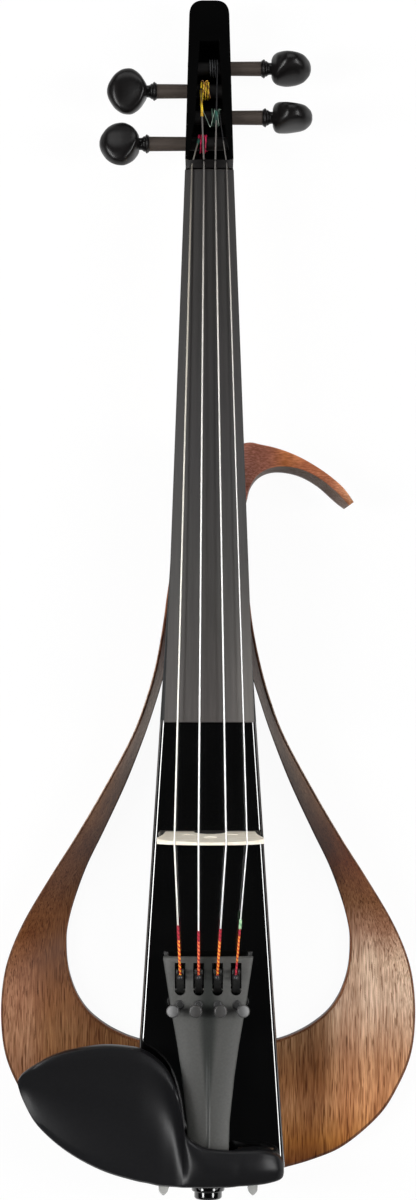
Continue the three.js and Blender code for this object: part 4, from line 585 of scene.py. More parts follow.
def smooth_rows(table, steps_per_row):
    """Smooth samples of a table, as in the CAD."""
    last = len(table) - 1
    rows = []
    for s in range(last * steps_per_row + 1):
        place = s / steps_per_row
        i = min(int(place), last - 1)
        w = place - i
        p0, p1, p2, p3 = (table[min(max(k, 0), last)] for k in (i - 1, i, i + 1, i + 2))
        row = []
        for a, b, c, d in zip(p0, p1, p2, p3):
            v0, v1 = (c - a) / 2, (d - b) / 2
            row.append((2 * b - 2 * c + v0 + v1) * w ** 3 + (-3 * b + 3 * c - 2 * v0 - v1) * w ** 2 + v0 * w + b)
        rows.append(row)
    return rows


CORNER_STEPS, CORNER_SHARE, TINY = 2, 0.42, 1e-9


def rounded(ring, radius):
    """A ring of points with its corners rounded off, at most up to a share of the side."""
    points = []
    for i, point in enumerate(ring):
        back, ahead = ring[i - 1] - point, ring[(i + 1) % len(ring)] - point
        a = point + back * min(radius / max(back.length, TINY), CORNER_SHARE)
        b = point + ahead * min(radius / max(ahead.length, TINY), CORNER_SHARE)
        for k in range(CORNER_STEPS + 1):
            t = k / CORNER_STEPS
            points.append(a * (1 - t) ** 2 + point * 2 * t * (1 - t) + b * t ** 2)
    return points


def closed_mesh(name, rings):
    """A plain closed mesh through rings, used as a tool and then removed."""
    bm = bmesh.new()
    add_rings(bm, rings)
    bmesh.ops.recalc_face_normals(bm, faces=bm.faces)
    mesh = bpy.data.meshes.new(name)
    bm.to_mesh(mesh)
    bm.free()
    tool = bpy.data.objects.new(name, mesh)
    bpy.context.scene.collection.objects.link(tool)
    return tool


def carve(piece, tool, operation):
    """Cuts a piece with a tool, keeps the result as its mesh and removes the tool."""
    cut = piece.modifiers.new("cut", "BOOLEAN")
    cut.object = tool
    cut.operation = operation
    cut.solver = "EXACT"
    bpy.context.view_layer.update()
    graph = bpy.context.evaluated_depsgraph_get()
    carved = bpy.data.meshes.new_from_object(piece.evaluated_get(graph), depsgraph=graph)
    piece.modifiers.clear()
    piece.data = carved
    bpy.data.objects.remove(tool)


# Wooden frame, from the same stations as the CAD

FRAME_HALF, FRAME_LENGTH, FRAME_TAIL = 103, 370, -37
FRAME_THICK, FRAME_HEIGHT, FRAME_STRIP = 9.0, 29, 1.4
ARM = [
    (0.322, 0.007, 0.322, 0.181, 0, 1, 0.85, 0, 0, 0.02, 0.5),
    (0.5, 0.021, 0.398, 0.188, 0, 1, 0.85, 0, 0, 0.02, 0.5),
    (0.66, 0.041, 0.49, 0.201, 0.03, 0.96, 0.85, 0, 0, 0.02, 0.5),
    (0.83, 0.082, 0.573, 0.219, 0.05, 0.9, 0.85, 0, 0.04, 0.02, 0.5),
    (0.922, 0.123, 0.627, 0.239, 0.1, 0.8, 0.85, 0, 0.1, 0.03, 0.5),
    (0.98, 0.164, 0.661, 0.2605, 0.16, 0.68, 0.85, 0, 0.2, 0.03, 0.48),
    (1, 0.211, 0.681, 0.283, 0.24, 0.56, 0.85, 0, 0.31, 0.03, 0.46),
    (0.991, 0.259, 0.688, 0.309, 0.34, 0.45, 0.85, 0, 0.44, 0.04, 0.44),
    (0.957, 0.3, 0.683, 0.333, 0.47, 0.36, 0.85, 0, 0.55, 0.04, 0.42),
    (0.883, 0.347, 0.652, 0.368, 0.6, 0.27, 0.8, 0, 0.65, 0.05, 0.42),
    (0.766, 0.402, 0.589, 0.416, 0.71, 0.2, 0.8, 0, 0.7, 0.05, 0.45),
    (0.63, 0.462, 0.502, 0.466, 0.83, 0.15, 0.75, 0, 0.7, 0.06, 0.52),
    (0.49, 0.529, 0.397, 0.529, 0.93, 0.12, 0.75, 0, 0.65, 0.08, 0.6),
    (0.364, 0.595, 0.307, 0.593, 1, 0.11, 0.7, 0, 0.6, 0.1, 0.75),
    (0.295, 0.646, 0.248, 0.642, 0.97, 0.11, 0.7, 0, 0.57, 0.1, 0.85),
    (0.25, 0.692, 0.202, 0.684, 0.76, 0.13, 0.7, 0, 0.55, 0.1, 0.85),
]
RIGHT_END = [
    (0.217, 0.738, 0.17, 0.727, 0.6, 0.17, 0.7, 0, 0.5, 0.08, 0.8),
    (0.195, 0.786, 0.131, 0.776, 0.58, 0.2, 0.7, 0, 0.5, 0.06, 0.7),
    (0.168, 0.836, 0.082, 0.823, 0.58, 0.26, 0.7, 0.02, 0.5, 0.05, 0.65),
    (0.118, 0.888, -0.02, 0.86, 0.58, 0.32, 0.7, 0.04, 0.5, 0.05, 0.6),
]
HOOK = [
    (0.218, 0.742, 0.142, 0.726, 0.6, 0.17, 0.7, 0, 0.5, 0.08, 0.8),
    (0.196, 0.786, 0.083, 0.762, 0.58, 0.2, 0.7, 0, 0.5, 0.06, 0.7),
    (0.165, 0.836, 0.01, 0.799, 0.58, 0.28, 0.7, 0.03, 0.48, 0.05, 0.6),
    (0.116, 0.883, -0.068, 0.835, 0.59, 0.42, 0.7, 0.1, 0.48, 0.04, 0.55),
    (0.044, 0.93, -0.136, 0.871, 0.59, 0.57, 0.7, 0.2, 0.48, 0.03, 0.5),
    (-0.053, 0.969, -0.182, 0.904, 0.6, 0.74, 0.65, 0.32, 0.52, 0.03, 0.5),
    (-0.178, 0.9856, -0.203, 0.925, 0.66, 0.89, 0.6, 0.42, 0.55, 0.05, 0.5),
    (-0.26, 0.983, -0.242, 0.939, 0.76, 0.95, 0.55, 0.48, 0.56, 0.12, 0.6),
    (-0.341, 0.9773, -0.3, 0.946, 0.85, 0.97, 0.5, 0.5, 0.58, 0.22, 0.7),
    (-0.422, 0.9685, -0.372, 0.946, 0.92, 0.97, 0.5, 0.5, 0.58, 0.35, 0.8),
    (-0.494, 0.9577, -0.45, 0.94, 0.98, 0.97, 0.5, 0.5, 0.58, 0.45, 0.8),
    (-0.566, 0.9445, -0.527, 0.9275, 1.02, 0.97, 0.5, 0.5, 0.58, 0.5, 0.8),
    (-0.628, 0.9304, -0.594, 0.911, 1.05, 0.97, 0.5, 0.5, 0.58, 0.52, 0.8),
    (-0.664, 0.9194, -0.623, 0.904, 1.05, 0.96, 0.5, 0.51, 0.6, 0.52, 0.8),
    (-0.697, 0.906, -0.655, 0.8975, 1.04, 0.95, 0.5, 0.52, 0.62, 0.5, 0.8),
]
FRAME_STEPS = 10
FRAME_CORNER = 0.45
# A ring's segments, three to each corner, and the walnut layer of each: face, strip, wall, line, outside
FRAME_LAYERS = {0: 1, 1: 1, 2: 3, 3: 3} | dict.fromkeys(range(8, 14), 2) | dict.fromkeys(range(14, 21), 4)
# The tool that clears the left arm out of the right one: its heights, its room and the stations that it follows
ROOM_TOP, ROOM_LOW, ROOM_SPARE, ROOM_ROWS = 32, -3, 0.3, 7


def frame_edges(row, side):
    ox, oy, ix, iy = row[:4]
    outer = Vector((side * ox * FRAME_HALF, FRAME_TAIL + oy * FRAME_LENGTH, 0))
    inner = Vector((side * ix * FRAME_HALF, FRAME_TAIL + iy * FRAME_LENGTH, 0))
    return outer, inner


def band_ring(row, side):
    outer, inner = frame_edges(row, side)
    rise, inner_share, lip, back, outer_back, slant, foot = row[4:]
    width = (outer - inner).length
    top = FRAME_THICK + (FRAME_HEIGHT - FRAME_THICK) * rise
    inner_z = top * inner_share
    back_z = max(top * back, 0)
    profile = [
        (0, top),
        (FRAME_STRIP, top),
        (width * (1 - slant), inner_z),
        (width, back_z + (inner_z - back_z) * lip),
        (width, back_z),
        (width * (1 - foot), back_z),
        (0, max(top * outer_back, 0)),
    ]
    ring = []
    for inward, z in profile:
        point = outer.lerp(inner, inward / width)
        ring.append(Vector((point.x, point.y, z)) * MM)
    return ring


def band(rows, side):
    """A band of the frame; its faces take the strip, line, face, wall or outside material by their place."""
    bm = bmesh.new()
    rings = [rounded(band_ring(row, side), FRAME_CORNER * MM) for row in smooth_rows(rows, FRAME_STEPS)]
    add_rings(bm, rings)
    count = len(rings[0])
    for i, face in enumerate(list(bm.faces)[:-2]):
        face.material_index = FRAME_LAYERS.get(i % count, 0)
    return bm


def build_frame():
    settle("frame_left_wood", band(ARM + HOOK, -1), WALNUT_PARTS, "violin", ("frame_left",), 50)
    right = settle("frame_right_wood", band(ARM + RIGHT_END, 1), WALNUT_PARTS, "violin",
                   ("frame_right",), 50)
    rings = []
    for row in smooth_rows(HOOK[:ROOM_ROWS], FRAME_STEPS):
        outer, inner = frame_edges(row, -1)
        edge = outer.lerp(inner, 1 + ROOM_SPARE / (outer - inner).length)
        corners = ((outer, ROOM_TOP), (edge, ROOM_TOP), (edge, ROOM_LOW), (outer, ROOM_LOW))
        rings.append([Vector((p.x, p.y, z)) * MM for p, z in corners])
    carve(right, closed_mesh("room", rings), "DIFFERENCE")
    dress("tail_block", bevel=0.3 * MM)


# Chin rest, from the same stations as the CAD

CHIN = [
    (0.004, 0.75, 0.72, 0.55, 0.55, 0.55, 0.35, 0.35),
    (0.022, 0.8, 0.62, 0.62, 0.55, 0.6, 0.34, 0.34),
    (0.067, 0.858, 0.465, 0.68, 0.5, 0.66, 0.28, 0.3),
    (0.137, 0.928, 0.331, 0.72, 0.44, 0.72, 0.22, 0.28),
    (0.225, 0.974, 0.214, 0.74, 0.4, 0.76, 0.18, 0.26),
    (0.331, 1, 0.117, 0.76, 0.38, 0.8, 0.15, 0.26),
    (0.439, 0.984, 0.057, 0.78, 0.38, 0.84, 0.12, 0.28),
    (0.488, 0.952, 0.039, 0.79, 0.4, 0.87, 0.06, 0.3),
    (0.532, 0.893, 0.021, 0.8, 0.44, 0.9, 0, 0.3),
    (0.566, 0.818, 0.016, 0.81, 0.5, 0.92, 0, 0.3),
    (0.595, 0.704, 0.013, 0.82, 0.58, 0.93, 0, 0.32),
    (0.616, 0.55, 0.01, 0.84, 0.7, 0.92, 0.3, 0.4),
    (0.629, 0.397, 0.01, 0.85, 0.82, 0.92, 0.56, 0.56),
    (0.648, 0.348, 0.01, 0.85, 0.92, 0.9, 0.62, 0.62),
    (0.681, 0.31, 0.009, 0.84, 0.97, 0.88, 0.63, 0.63),
    (0.722, 0.284, 0.008, 0.82, 0.98, 0.86, 0.63, 0.63),
    (0.797, 0.27, 0.009, 0.78, 0.95, 0.82, 0.62, 0.62),
    (0.83, 0.27, 0.014, 0.74, 0.92, 0.8, 0.3, 0.3),
    (0.87, 0.27, 0.018, 0.72, 0.9, 0.76, 0, 0),
    (0.924, 0.268, 0.026, 0.66, 0.84, 0.7, 0, 0),
    (0.972, 0.235, 0.045, 0.58, 0.72, 0.62, 0, 0),
    (0.993, 0.186, 0.066, 0.5, 0.58, 0.52, 0.06, 0.06),
    (0.999, 0.144, 0.1, 0.45, 0.48, 0.45, 0.2, 0.2),
]
CHIN_LEFT, CHIN_RIGHT, CHIN_LOW = 93, 37, -35.5
CHIN_DEPTH, CHIN_HEIGHT, CHIN_UNDER = 69.3, 18, 42.6


# Shares across the rest at which its top and its under side have points, and its rounded rim
CHIN_TOP_AT = (0.05, 0.11, 0.18, 0.26, 0.34, 0.42, 0.5, 0.58, 0.66, 0.74, 0.82, 0.89, 0.95)
CHIN_UNDER_AT = (0.93, 0.7, 0.5, 0.3, 0.07)
RIM_IN, RIM_DIP, RIM_DROP, RIM_FOOT, CHIN_BOW = 0.015, 0.035, 0.1, 0.07, 1.4
CHIN_STEPS = 5


def chin_ring(row):
    place, high, low, low_top, middle_top, high_top, low_under, high_under = row
    x = place * (CHIN_LEFT + CHIN_RIGHT) - CHIN_LEFT
    high_y, low_y = CHIN_LOW + high * CHIN_DEPTH, CHIN_LOW + low * CHIN_DEPTH
    bow = middle_top - (low_top + high_top) / 2

    def at(across, share):
        return Vector((x, low_y + (high_y - low_y) * across, CHIN_UNDER + share * CHIN_HEIGHT)) * MM

    def top(across):
        return low_top + (high_top - low_top) * across + (4 * across * (1 - across)) ** CHIN_BOW * bow

    ring = [at(0, top(0) - RIM_DROP), at(RIM_IN, top(RIM_IN) - RIM_DIP)]
    ring += [at(k, top(k)) for k in CHIN_TOP_AT]
    ring += [at(1 - RIM_IN, top(1 - RIM_IN) - RIM_DIP), at(1, top(1) - RIM_DROP), at(1, high_under + RIM_FOOT)]
    for k in CHIN_UNDER_AT:
        ring.append(at(k, max(low_under + (high_under - low_under) * k, 0)))
    ring.append(at(0, low_under + RIM_FOOT))
    return ring


def build_chin_rest():
    bm = bmesh.new()
    add_rings(bm, [chin_ring(row) for row in smooth_rows(CHIN, CHIN_STEPS)])
    settle("chin_rest_cup", bm, LOOK["satin_black"], "violin", ("chin_rest",), 45)
    for side in ("left", "right"):
        dress(f"chin_cork_{side}", bevel=0.3 * MM)
        build_bracket(side)
        dress(f"clamp_barrel_{side}", bevel=0.15 * MM, angle=25)
    dress("clamp_foot", bevel=0.3 * MM)
    dress("clamp_cork", bevel=0.3 * MM)


# How far up the bracket's loop narrows, and by what share at its tip
TIP_HEIGHT, TIP_TAPER = 0.0045, 0.6


def build_bracket(side):
    """A clamp bracket whose loop narrows to a rounded tip below the chin rest."""
    node = f"clamp_bracket_{side}"
    low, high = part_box(node)
    middle = (low.x + high.x) / 2
    bm = welded(node)
    for vert in bm.verts:
        share = min(max((low.y + TIP_HEIGHT - vert.co.y) / TIP_HEIGHT, 0), 1)
        vert.co.x = middle + (vert.co.x - middle) * (1 - TIP_TAPER * share ** 2)
    settle(f"{node}_skin", bm, BRACKET_CHROME, BODY_OF[node], (node,), 35, 0.5 * MM, 4)


# Head: pegbox, pegs, windings

HEAD_TILT = math.radians(12.5)
HEAD_HALF_AT_NUT, HEAD_HALF_AT_TIP = 11.8, 9.9
# Side, roll in degrees, place along the pegbox, and how far the peg stands out beyond the others
PEGS = {
    "g": (-1, -15, 0.1435, 1.49),
    "d": (-1, 4, 0.468, 0),
    "a": (1, 76.5, 0.608, 0),
    "e": (1, 87.5, 0.305, 0),
}
PEG_REACH, PEG_HEAD_FROM, PEG_HEAD_LENGTH, PEG_HEAD_HALF, PEG_HEAD_THICK = 14.9, 5.1, 19.5, 11.5, 6.0
PEG_SQUARE, PEG_STEPS, PEG_SIDES = 0.75, 4, 56
# Profiles: the shaft's tip from the far wall, its end from the collar, and the collar
SHAFT_TIP = ((0, 0), (0, 3.1), (0.2, 3.3))
SHAFT_END = ((0, 3.6), (0.6, 3.3), (0.6, 0))
COLLAR = (
    (0, 3.6), (0.12, 3.9), (0.4, 4.15), (0.7, 4.3), (1.05, 4.6), (1.38, 4.7), (1.7, 4.5), (2.05, 3.98), (2.2, 3.8),
    (2.45, 3.86), (2.75, 3.78), (3.1, 3.5), (3.6, 3.12), (4.1, 3.0), (5.2, 3.0), (8, 2.6), (9, 0),
)
PEG_HEAD = (
    (0, 0.28, 0.74), (0.03, 0.36, 1.0), (0.07, 0.47, 1.14), (0.14, 0.66, 1.18), (0.24, 0.84, 1.11),
    (0.36, 0.97, 1.02), (0.47, 1, 0.95), (0.61, 0.96, 0.89), (0.73, 0.84, 0.87), (0.83, 0.68, 0.8),
    (0.92, 0.45, 0.62), (0.97, 0.28, 0.45), (1, 0.1, 0.2),
)


def build_peg(letter):
    side, roll, place, out = PEGS[letter]
    centre = Vector(JOINT[f"peg_{letter}_turn"]["pos_m"]) + Vector((side * out * MM, 0, 0))
    wall = HEAD_HALF_AT_NUT + (HEAD_HALF_AT_TIP - HEAD_HALF_AT_NUT) * place
    turn = Matrix.Rotation(math.radians(roll) - HEAD_TILT, 4, "X")
    if side < 0:
        turn = turn @ Matrix.Rotation(math.pi, 4, "Z")
    matrix = Matrix.Translation(centre) @ turn
    collar = wall + PEG_REACH
    body = f"peg_{letter}_set"

    shaft = bmesh.new()
    profile = [(along - wall, radius) for along, radius in SHAFT_TIP]
    profile += [(collar + along, radius) for along, radius in SHAFT_END]
    add_turned(shaft, in_metres(profile), 40, matrix)
    settle(f"peg_{letter}_shaft", shaft, PEG_SHAFT, body, (), 40)

    top = bmesh.new()
    profile = [(collar, 0)] + [(collar + along, radius) for along, radius in COLLAR]
    add_turned(top, in_metres(profile), 48, matrix)
    rings = []
    for along, height, thickness in smooth_rows(PEG_HEAD, PEG_STEPS):
        ring = []
        for corner in circle(PEG_SIDES):
            up, across = (math.copysign(abs(share) ** PEG_SQUARE, share) for share in corner)
            ring.append(matrix @ (Vector((
                collar + PEG_HEAD_FROM + along * PEG_HEAD_LENGTH,
                height * PEG_HEAD_HALF * up,
                thickness * PEG_HEAD_THICK * across,
            )) * MM))
        rings.append(ring)
    add_rings(top, rings)
    settle(f"peg_{letter}_head", top, LOOK["ebony"], body, (f"peg_{letter}",), 60)
    dress(f"peg_winding_{letter}", angle=80, flat=0)


def build_head():
    dress("pegbox", bevel=0.9 * MM, angle=30, segments=4)
    for letter in PEGS:
        build_peg(letter)


# Neck, strings, bridge and tailpiece

CORE_TAIL_Y, CORE_HEEL_Y, CORE_TAIL_HALF, CORE_HEEL_HALF, CORE_TOP = -27.5, 325, 37.6, 14.9, 40
CORE_ROUND, CORE_ROUND_STEPS = 2.6, 12
# The rounding tool reaches past both ends of the core, a hair past its sides, and below it
TOOL_FROM, TOOL_TO, TOOL_SPARE, TOOL_LOW = -0.3, 1.3, 0.01, -5


def build_core():
    core = dress("body_core", angle=40)
    turns = [math.radians(90 * k / CORE_ROUND_STEPS) for k in range(CORE_ROUND_STEPS + 1)]
    rings = []
    for share in (TOOL_FROM, TOOL_TO):
        y = CORE_TAIL_Y + share * (CORE_HEEL_Y - CORE_TAIL_Y)
        half = CORE_TAIL_HALF + share * (CORE_HEEL_HALF - CORE_TAIL_HALF) + TOOL_SPARE
        right = [(half + CORE_ROUND * (math.cos(a) - 1), CORE_TOP + CORE_ROUND * (math.sin(a) - 1)) for a in turns]
        section = [(half, TOOL_LOW)] + right + [(-x, z) for x, z in reversed(right)] + [(-half, TOOL_LOW)]
        rings.append([Vector((x, y, z)) * MM for x, z in section])
    carve(core, closed_mesh("rounding", rings), "INTERSECT")
    weigh = core.modifiers.new("normals", "WEIGHTED_NORMAL")
    weigh.keep_sharp = True


# Places along Y carried in a string's bend: where its tail end would follow its lever up to, and where it would
# be still from; settle reads none of them
BEND_FROM, BEND_TO = 0.0700, 0.1180


def string_bend(letter):
    return f"tuner_lever_{letter}_set", "violin", (0, BEND_FROM, 0), (0, BEND_TO, 0)


def build_middle():
    build_core()
    dress("fingerboard", bevel=0.35 * MM, angle=45)
    dress("neck", angle=60)
    dress("nut", bevel=0.25 * MM)
    dress("end_saddle", bevel=0.2 * MM)
    dress("bridge", bevel=0.25 * MM)
    dress("pickup_strip", bevel=0.1 * MM)
    dress("tailpiece", bevel=0.35 * MM, angle=40)
    dress("tuner_axle", angle=50)
    dress("tail_cord", angle=80, flat=0)
    for letter in PEGS:
        dress(f"string_{letter}", STRING_LOOK[letter], angle=80, flat=0, bend=string_bend(letter))
        dress(f"tuner_lever_{letter}", LEVER_STEEL, bevel=0.25 * MM)
        dress(f"tuner_screw_{letter}", angle=40, bevel=0.1 * MM)
        build_tuner_knob(letter)
    build_silks()


KNOB = (
    (-1.8, 0), (-1.8, 2.2), (-1.7, 2.3), (-0.7, 2.3), (-0.6, 3.0), (-0.4, 3.1), (1.3, 3.1), (1.6, 2.95), (1.75, 2.75),
    (1.8, 2.5), (1.8, 0),
)
# Four corners to each ridge of the knurl, between two places along the knob
KNOB_SIDES, KNURL_SIDES, KNURL_DEPTH, KNURL_FROM, KNURL_TO = 96, 4, 0.035, -0.5 * MM, 1.4 * MM
OUTER_KNOBS = "ge"
BOSS = ((-1, 0), (-1, 2.2), (0.5, 2.2), (0.85, 1.95), (1.0, 1.5), (0.7, 1.2), (0.7, 0))
BOSS_Y, OUTER_BOSS_TOP, INNER_BOSS_TOP = 53.6, 52.3, 53.9


def build_tuner_knob(letter):
    joint = JOINT[f"tuner_knob_{letter}_turn"]
    up = -Vector(joint["axis"])
    across = Vector((0, 1, 0))
    matrix = Matrix.Translation(Vector(joint["pos_m"])) @ Matrix((up, across, up.cross(across))).transposed().to_4x4()

    def knurl(along, corner):
        turn = 2 * math.pi * corner / KNURL_SIDES
        return 1 + (KNURL_DEPTH * math.cos(turn) if KNURL_FROM < along < KNURL_TO else 0)

    outer = letter in OUTER_KNOBS
    bm = bmesh.new()
    add_turned(bm, in_metres(KNOB), KNOB_SIDES, matrix, knurl)
    settle(f"tuner_knob_{letter}_grip", bm, KNOB_OUTER_LIT if outer else KNOB_INNER_SHADED, f"tuner_knob_{letter}_set",
           (f"tuner_knob_{letter}",), 50)

    place = (JOINT[f"tuner_lever_{letter}_tilt"]["pos_m"][0], BOSS_Y * MM,
             (OUTER_BOSS_TOP if outer else INNER_BOSS_TOP) * MM)
    boss = bmesh.new()
    add_turned(boss, in_metres(BOSS), 32,
               Matrix.Translation(Vector(place)) @ Matrix.Rotation(math.radians(-90), 4, "Y"))
    settle(f"tuner_boss_{letter}", boss, TUNER_BOSS, "violin", (), 40)


FINE_TURNS = 260
SILK_RED = silk_material("silk_red", (136, 6, 30), (190, 24, 52), FINE_TURNS)
SILK_ORANGE = silk_material("silk_orange", (190, 34, 18), (248, 160, 40), FINE_TURNS)
SILK_VERMILION = silk_material("silk_vermilion", (170, 20, 26), (236, 120, 60), FINE_TURNS)
SILK_SLEEVE = silk_material("silk_sleeve", (120, 176, 130), (176, 214, 170))
SILK_TEAL = silk_material("silk_teal", (10, 48, 42), (20, 80, 66))
SILK_PALE = silk_material("silk_pale", (136, 160, 146), (176, 196, 180))
SILK_AMBER = silk_material("silk_amber", (120, 74, 18), (196, 146, 40))
# Silk along each string above the tailpiece: from, to, finish
TAIL_SILKS = {
    "g": ((0.0682, 0.0856, SILK_ORANGE), (0.0856, 0.0930, SILK_RED)),
    "d": ((0.0682, 0.0850, SILK_VERMILION), (0.0850, 0.0904, SILK_RED)),
    "a": ((0.0682, 0.0856, SILK_ORANGE), (0.0856, 0.0914, SILK_RED)),
    "e": ((0.0682, 0.0746, SILK_RED), (0.0746, 0.0875, SILK_ORANGE), (0.0875, 0.0911, SILK_RED),
          (0.0911, 0.0958, SILK_SLEEVE)),
}
# Silk along the strings in the pegbox: string, from, to, thickness added, finish
HEAD_SILKS = (
    ("d", 0.4868, 0.5008, 0.22, LOOK["silk_yellow"]),
    ("g", 0.4734, 0.4758, 0.42, SILK_TEAL),
    ("a", 0.4846, 0.4894, 0.36, SILK_TEAL),
)
# Loose ends in the pegbox, seen from above
LOOSE_ENDS = (
    ("yellow", SILK_AMBER, ((-2.2, 499.5), (-1.5, 503.8), (-0.3, 504.8), (0.2, 501.0), (1.1, 496.3))),
    ("amber", SILK_AMBER, ((-3.4, 504.6), (-2.4, 504.9), (-1.9, 501.5), (-1.2, 497.2))),
    ("green_long", SILK_PALE, ((-2.7, 490.6), (-0.8, 486.2), (1.1, 482.2), (2.3, 486.4), (3.4, 490.4))),
    ("green_short", SILK_PALE, ((6.4, 490.7), (5.1, 490.3), (4.9, 487.6), (5.3, 482.6))),
)


LOOSE_HEIGHT, LOOSE_RADIUS, LOOSE_STEPS = 35.5, 0.16, 6
# String radii, the silk's thickness over them, and a sleeve's ends: share along and share of the radius
STRING_RADIUS, THIN_STRING_RADIUS, SILK_OVER, SLEEVE_OVER = 0.4, 0.3, 0.2, 0.35
SLEEVE_ENDS = ((0, 0.7), (0.01, 1), (0.99, 1), (1, 0.7))
# The fork's length from the string's end, where the bridge lies along Y, and the points in one row of a string
FORK_LENGTH, BRIDGE_FROM, BRIDGE_TO, ROW_POINTS = 3.2 * MM, 0.120, 0.140, 6


def string_points(letter):
    return [vert.co.copy() for vert in NODES[f"string_{letter}"].data.vertices]


def centre_of(points):
    return sum(points, Vector()) / len(points)


def string_line(letter):
    """The straight tail stretch of a string, from its lever's fork to the bridge."""
    points = string_points(letter)
    end = min(point.y for point in points)
    return (centre_of([p for p in points if p.y - end < FORK_LENGTH]),
            centre_of([p for p in points if BRIDGE_FROM < p.y < BRIDGE_TO]))


def string_at(letter, y):
    """The middle of a string where it crosses a plane of equal Y, from the two nearest rows of its points."""
    points = sorted(string_points(letter), key=lambda p: abs(p.y - y))
    a = centre_of([p for p in points if p.y <= y][:ROW_POINTS])
    b = centre_of([p for p in points if p.y > y][:ROW_POINTS])
    return a.lerp(b, (y - a.y) / (b.y - a.y))


def sleeve(name, a, b, radius, material, slot, bend=None):
    """A sleeve of silk round a straight string."""
    along = (b - a).normalized()
    side = Vector((1, 0, 0)).cross(along).normalized()
    bm = bmesh.new()
    add_tube(bm, [(a.lerp(b, share), side, along.cross(side), size) for share, size in SLEEVE_ENDS], radius, 16)
    settle(name, bm, material, "violin", (), 60, bend=bend)


def thread(name, points, material):
    """A loose end of silk through a few points."""
    points = [Vector(row) for row in smooth_rows(points, LOOSE_STEPS)]
    line = []
    for before, point, after in zip([points[0]] + points, points, points[1:] + [points[-1]]):
        along = (after - before).normalized()
        side = along.cross(Vector((0, 0, 1))).normalized()
        line.append((point, side, along.cross(side), 1))
    bm = bmesh.new()
    add_tube(bm, line, LOOSE_RADIUS * MM, 10)
    settle(name, bm, material, "violin", (), 70)


def build_silks():
    for letter, stretches in TAIL_SILKS.items():
        tail, head = string_line(letter)
        span = head - tail
        for k, (low, high, material) in enumerate(stretches):
            ends = [tail + span * ((y - tail.y) / span.y) for y in (low, high)]
            radius = THIN_STRING_RADIUS if letter == "e" else STRING_RADIUS
            radius += SLEEVE_OVER if material is SILK_SLEEVE else SILK_OVER
            sleeve(f"string_{letter}_silk_{k + 1}", *ends, radius * MM, material, "silk_crimson", string_bend(letter))
    for letter, low, high, over, material in HEAD_SILKS:
        sleeve(f"string_{letter}_head_silk", string_at(letter, low), string_at(letter, high),
               (STRING_RADIUS + over) * MM, material, "silk_green")
    for name, material, places in LOOSE_ENDS:
        thread(f"loose_end_{name}", [(x * MM, y * MM, LOOSE_HEIGHT * MM) for x, y in places], material)


# Tail end and electronics

END_BUTTON_PLACE = (0, -0.036, 0.024)
END_BUTTON = (
    (-9.8, 0), (-9.8, 5.4), (-9.7, 6.0), (-9.4, 6.5), (-9.0, 6.8), (-8.4, 6.9), (-5.8, 6.9), (-5.8, 7.7), (-5.6, 8.05),
    (-5.2, 8.2), (-3.6, 8.2), (-3.2, 8.05), (-3, 7.7), (-3, 4.2), (-0.3, 4.2), (-0.3, 3.8), (13.8, 3.8), (14, 3.6),
    (14, 0),
)


def build_ends():
    bm = bmesh.new()
    matrix = Matrix.Translation(Vector(END_BUTTON_PLACE)) @ Matrix.Rotation(math.radians(90), 4, "Z")
    add_turned(bm, in_metres(END_BUTTON), 64, matrix)
    settle("end_button_turned", bm, LOOK["gloss_black"], "violin", ("end_button",), 50)
    dress("rear_cover", bevel=0.25 * MM)
    for k in range(1, 5):
        dress(f"cover_screw_{k}", angle=40, bevel=0.1 * MM)
    dress("volume_pot", angle=40)
    dress("volume_knob", angle=40, bevel=0.3 * MM)
    dress("output_jack", angle=40, bevel=0.15 * MM)
    dress("jack_nut", angle=40, bevel=0.15 * MM)
    dress("pickup_lead", angle=80, flat=0)
    dress("jack_lead", angle=80, flat=0)


# Studio

AIM = (0, 0.25, 0)
# Lamps: place, size, power, and whether glossy and diffuse rays meet them. The broad side lamps light the wood, and
# the strips above them draw the thin lines in the lacquer
LAMPS = {
    "left": ((-1.5, 0.25, 1.1), (0.45, 1.8), 39, False, True),
    "right": ((1.5, 0.25, 1.1), (0.45, 1.8), 33, False, True),
    "left_strip": ((-1.25, 0.25, 1.4), (1.8, 0.45), 39, True, False),
    "right_strip": ((1.25, 0.25, 1.4), (1.8, 0.45), 33, True, False),
    "tail": ((0, -1.4, 1.3), (2.8, 1.6), 4, True, True),
    "far": ((0, 2.2, 1.0), (1.6, 0.8), 11, True, True),
}
SKY, SKY_STRENGTH = (0.9, 0.95, 1.0, 1), 0.015
BACKDROP = (0.95, 0.95, 0.95, 1)
FLOOR_HALF, FLOOR_Z, FLOOR_GLOW = 6, -0.0002, 0.95
FLOOR_DARK, FLOOR_LIGHT = (0.93, 0.93, 0.93, 1), (0.95, 0.95, 0.95, 1)


def build_lamps():
    for name, (place, size, power, glossy, diffuse) in LAMPS.items():
        data = bpy.data.lights.new(name, "AREA")
        data.shape = "RECTANGLE"
        data.size, data.size_y = size
        data.energy = power
        lamp = bpy.data.objects.new(name, data)
        lamp.location = place
        lamp.visible_glossy, lamp.visible_diffuse = glossy, diffuse
        lamp.rotation_euler = (Vector(AIM) - Vector(place)).to_track_quat("-Z", "Y").to_euler()
        bpy.context.scene.collection.objects.link(lamp)


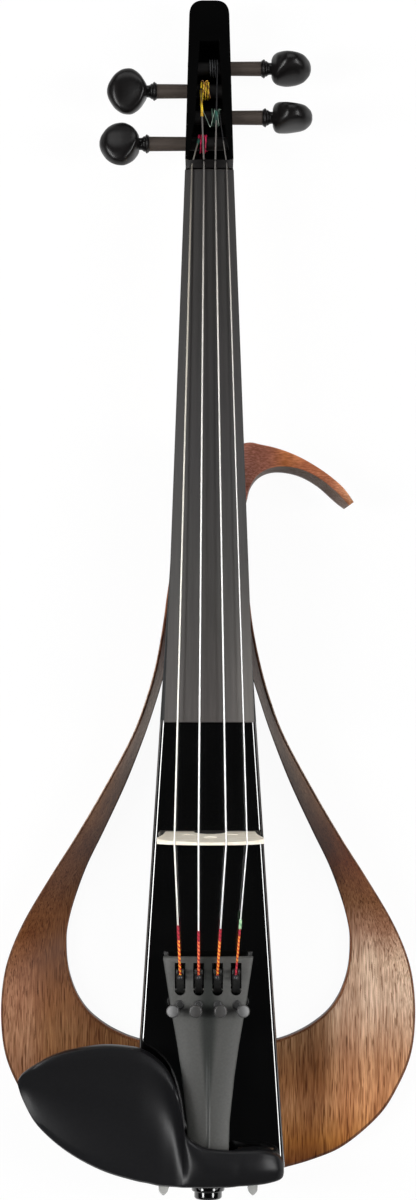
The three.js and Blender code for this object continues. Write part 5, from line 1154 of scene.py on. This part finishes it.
def build_world():
    """A dim sky for the object, and a white backdrop for the camera alone."""
    world = bpy.data.worlds.new("studio")
    world.use_nodes = True
    nodes, links = world.node_tree.nodes, world.node_tree.links
    sky = nodes["Background"]
    sky.inputs["Color"].default_value = SKY
    sky.inputs["Strength"].default_value = SKY_STRENGTH
    backdrop = nodes.new("ShaderNodeBackground")
    backdrop.inputs["Color"].default_value = BACKDROP
    choice = nodes.new("ShaderNodeMixShader")
    links.new(nodes.new("ShaderNodeLightPath").outputs["Is Camera Ray"], choice.inputs[0])
    links.new(sky.outputs[0], choice.inputs[1])
    links.new(backdrop.outputs[0], choice.inputs[2])
    links.new(choice.outputs[0], nodes["World Output"].inputs["Surface"])
    bpy.context.scene.world = world


def floor_material():
    """White for camera, glossy and transmission rays, but still a little darker in the object's shadow."""
    paint = Paint("floor_white", rough=0.9, specular=0.0)
    paint.colour(paint.ramp(paint.noise(3), (WANDER[0], FLOOR_DARK), (WANDER[1], FLOOR_LIGHT)))
    glow = paint.node("Emission")
    glow.inputs["Color"].default_value = WHITE
    rays = paint.node("LightPath").outputs
    seen = paint.math("MAXIMUM", rays["Is Camera Ray"], rays["Is Glossy Ray"])
    seen = paint.math("MAXIMUM", seen, rays["Is Transmission Ray"])
    choice = paint.node("MixShader")
    paint.link(paint.times(seen, FLOOR_GLOW), choice.inputs[0])
    paint.link(paint.shader.outputs[0], choice.inputs[1])
    paint.link(glow.outputs[0], choice.inputs[2])
    paint.link(choice.outputs[0], paint.out.inputs[0])
    return paint.material


def build_floor():
    bm = bmesh.new()
    corners = ((-1, -1), (1, -1), (1, 1), (-1, 1))
    bm.faces.new([bm.verts.new((x * FLOOR_HALF, y * FLOOR_HALF, FLOOR_Z)) for x, y in corners])
    mesh = bpy.data.meshes.new("floor")
    bm.to_mesh(mesh)
    bm.free()
    mesh.materials.append(floor_material())
    floor = bpy.data.objects.new("floor", mesh)
    bpy.context.scene.collection.objects.link(floor)


build_frame()
build_chin_rest()
build_head()
build_middle()
build_ends()
build_world()
build_lamps()
build_floor()
bpy.context.scene.view_settings.view_transform = "Standard"
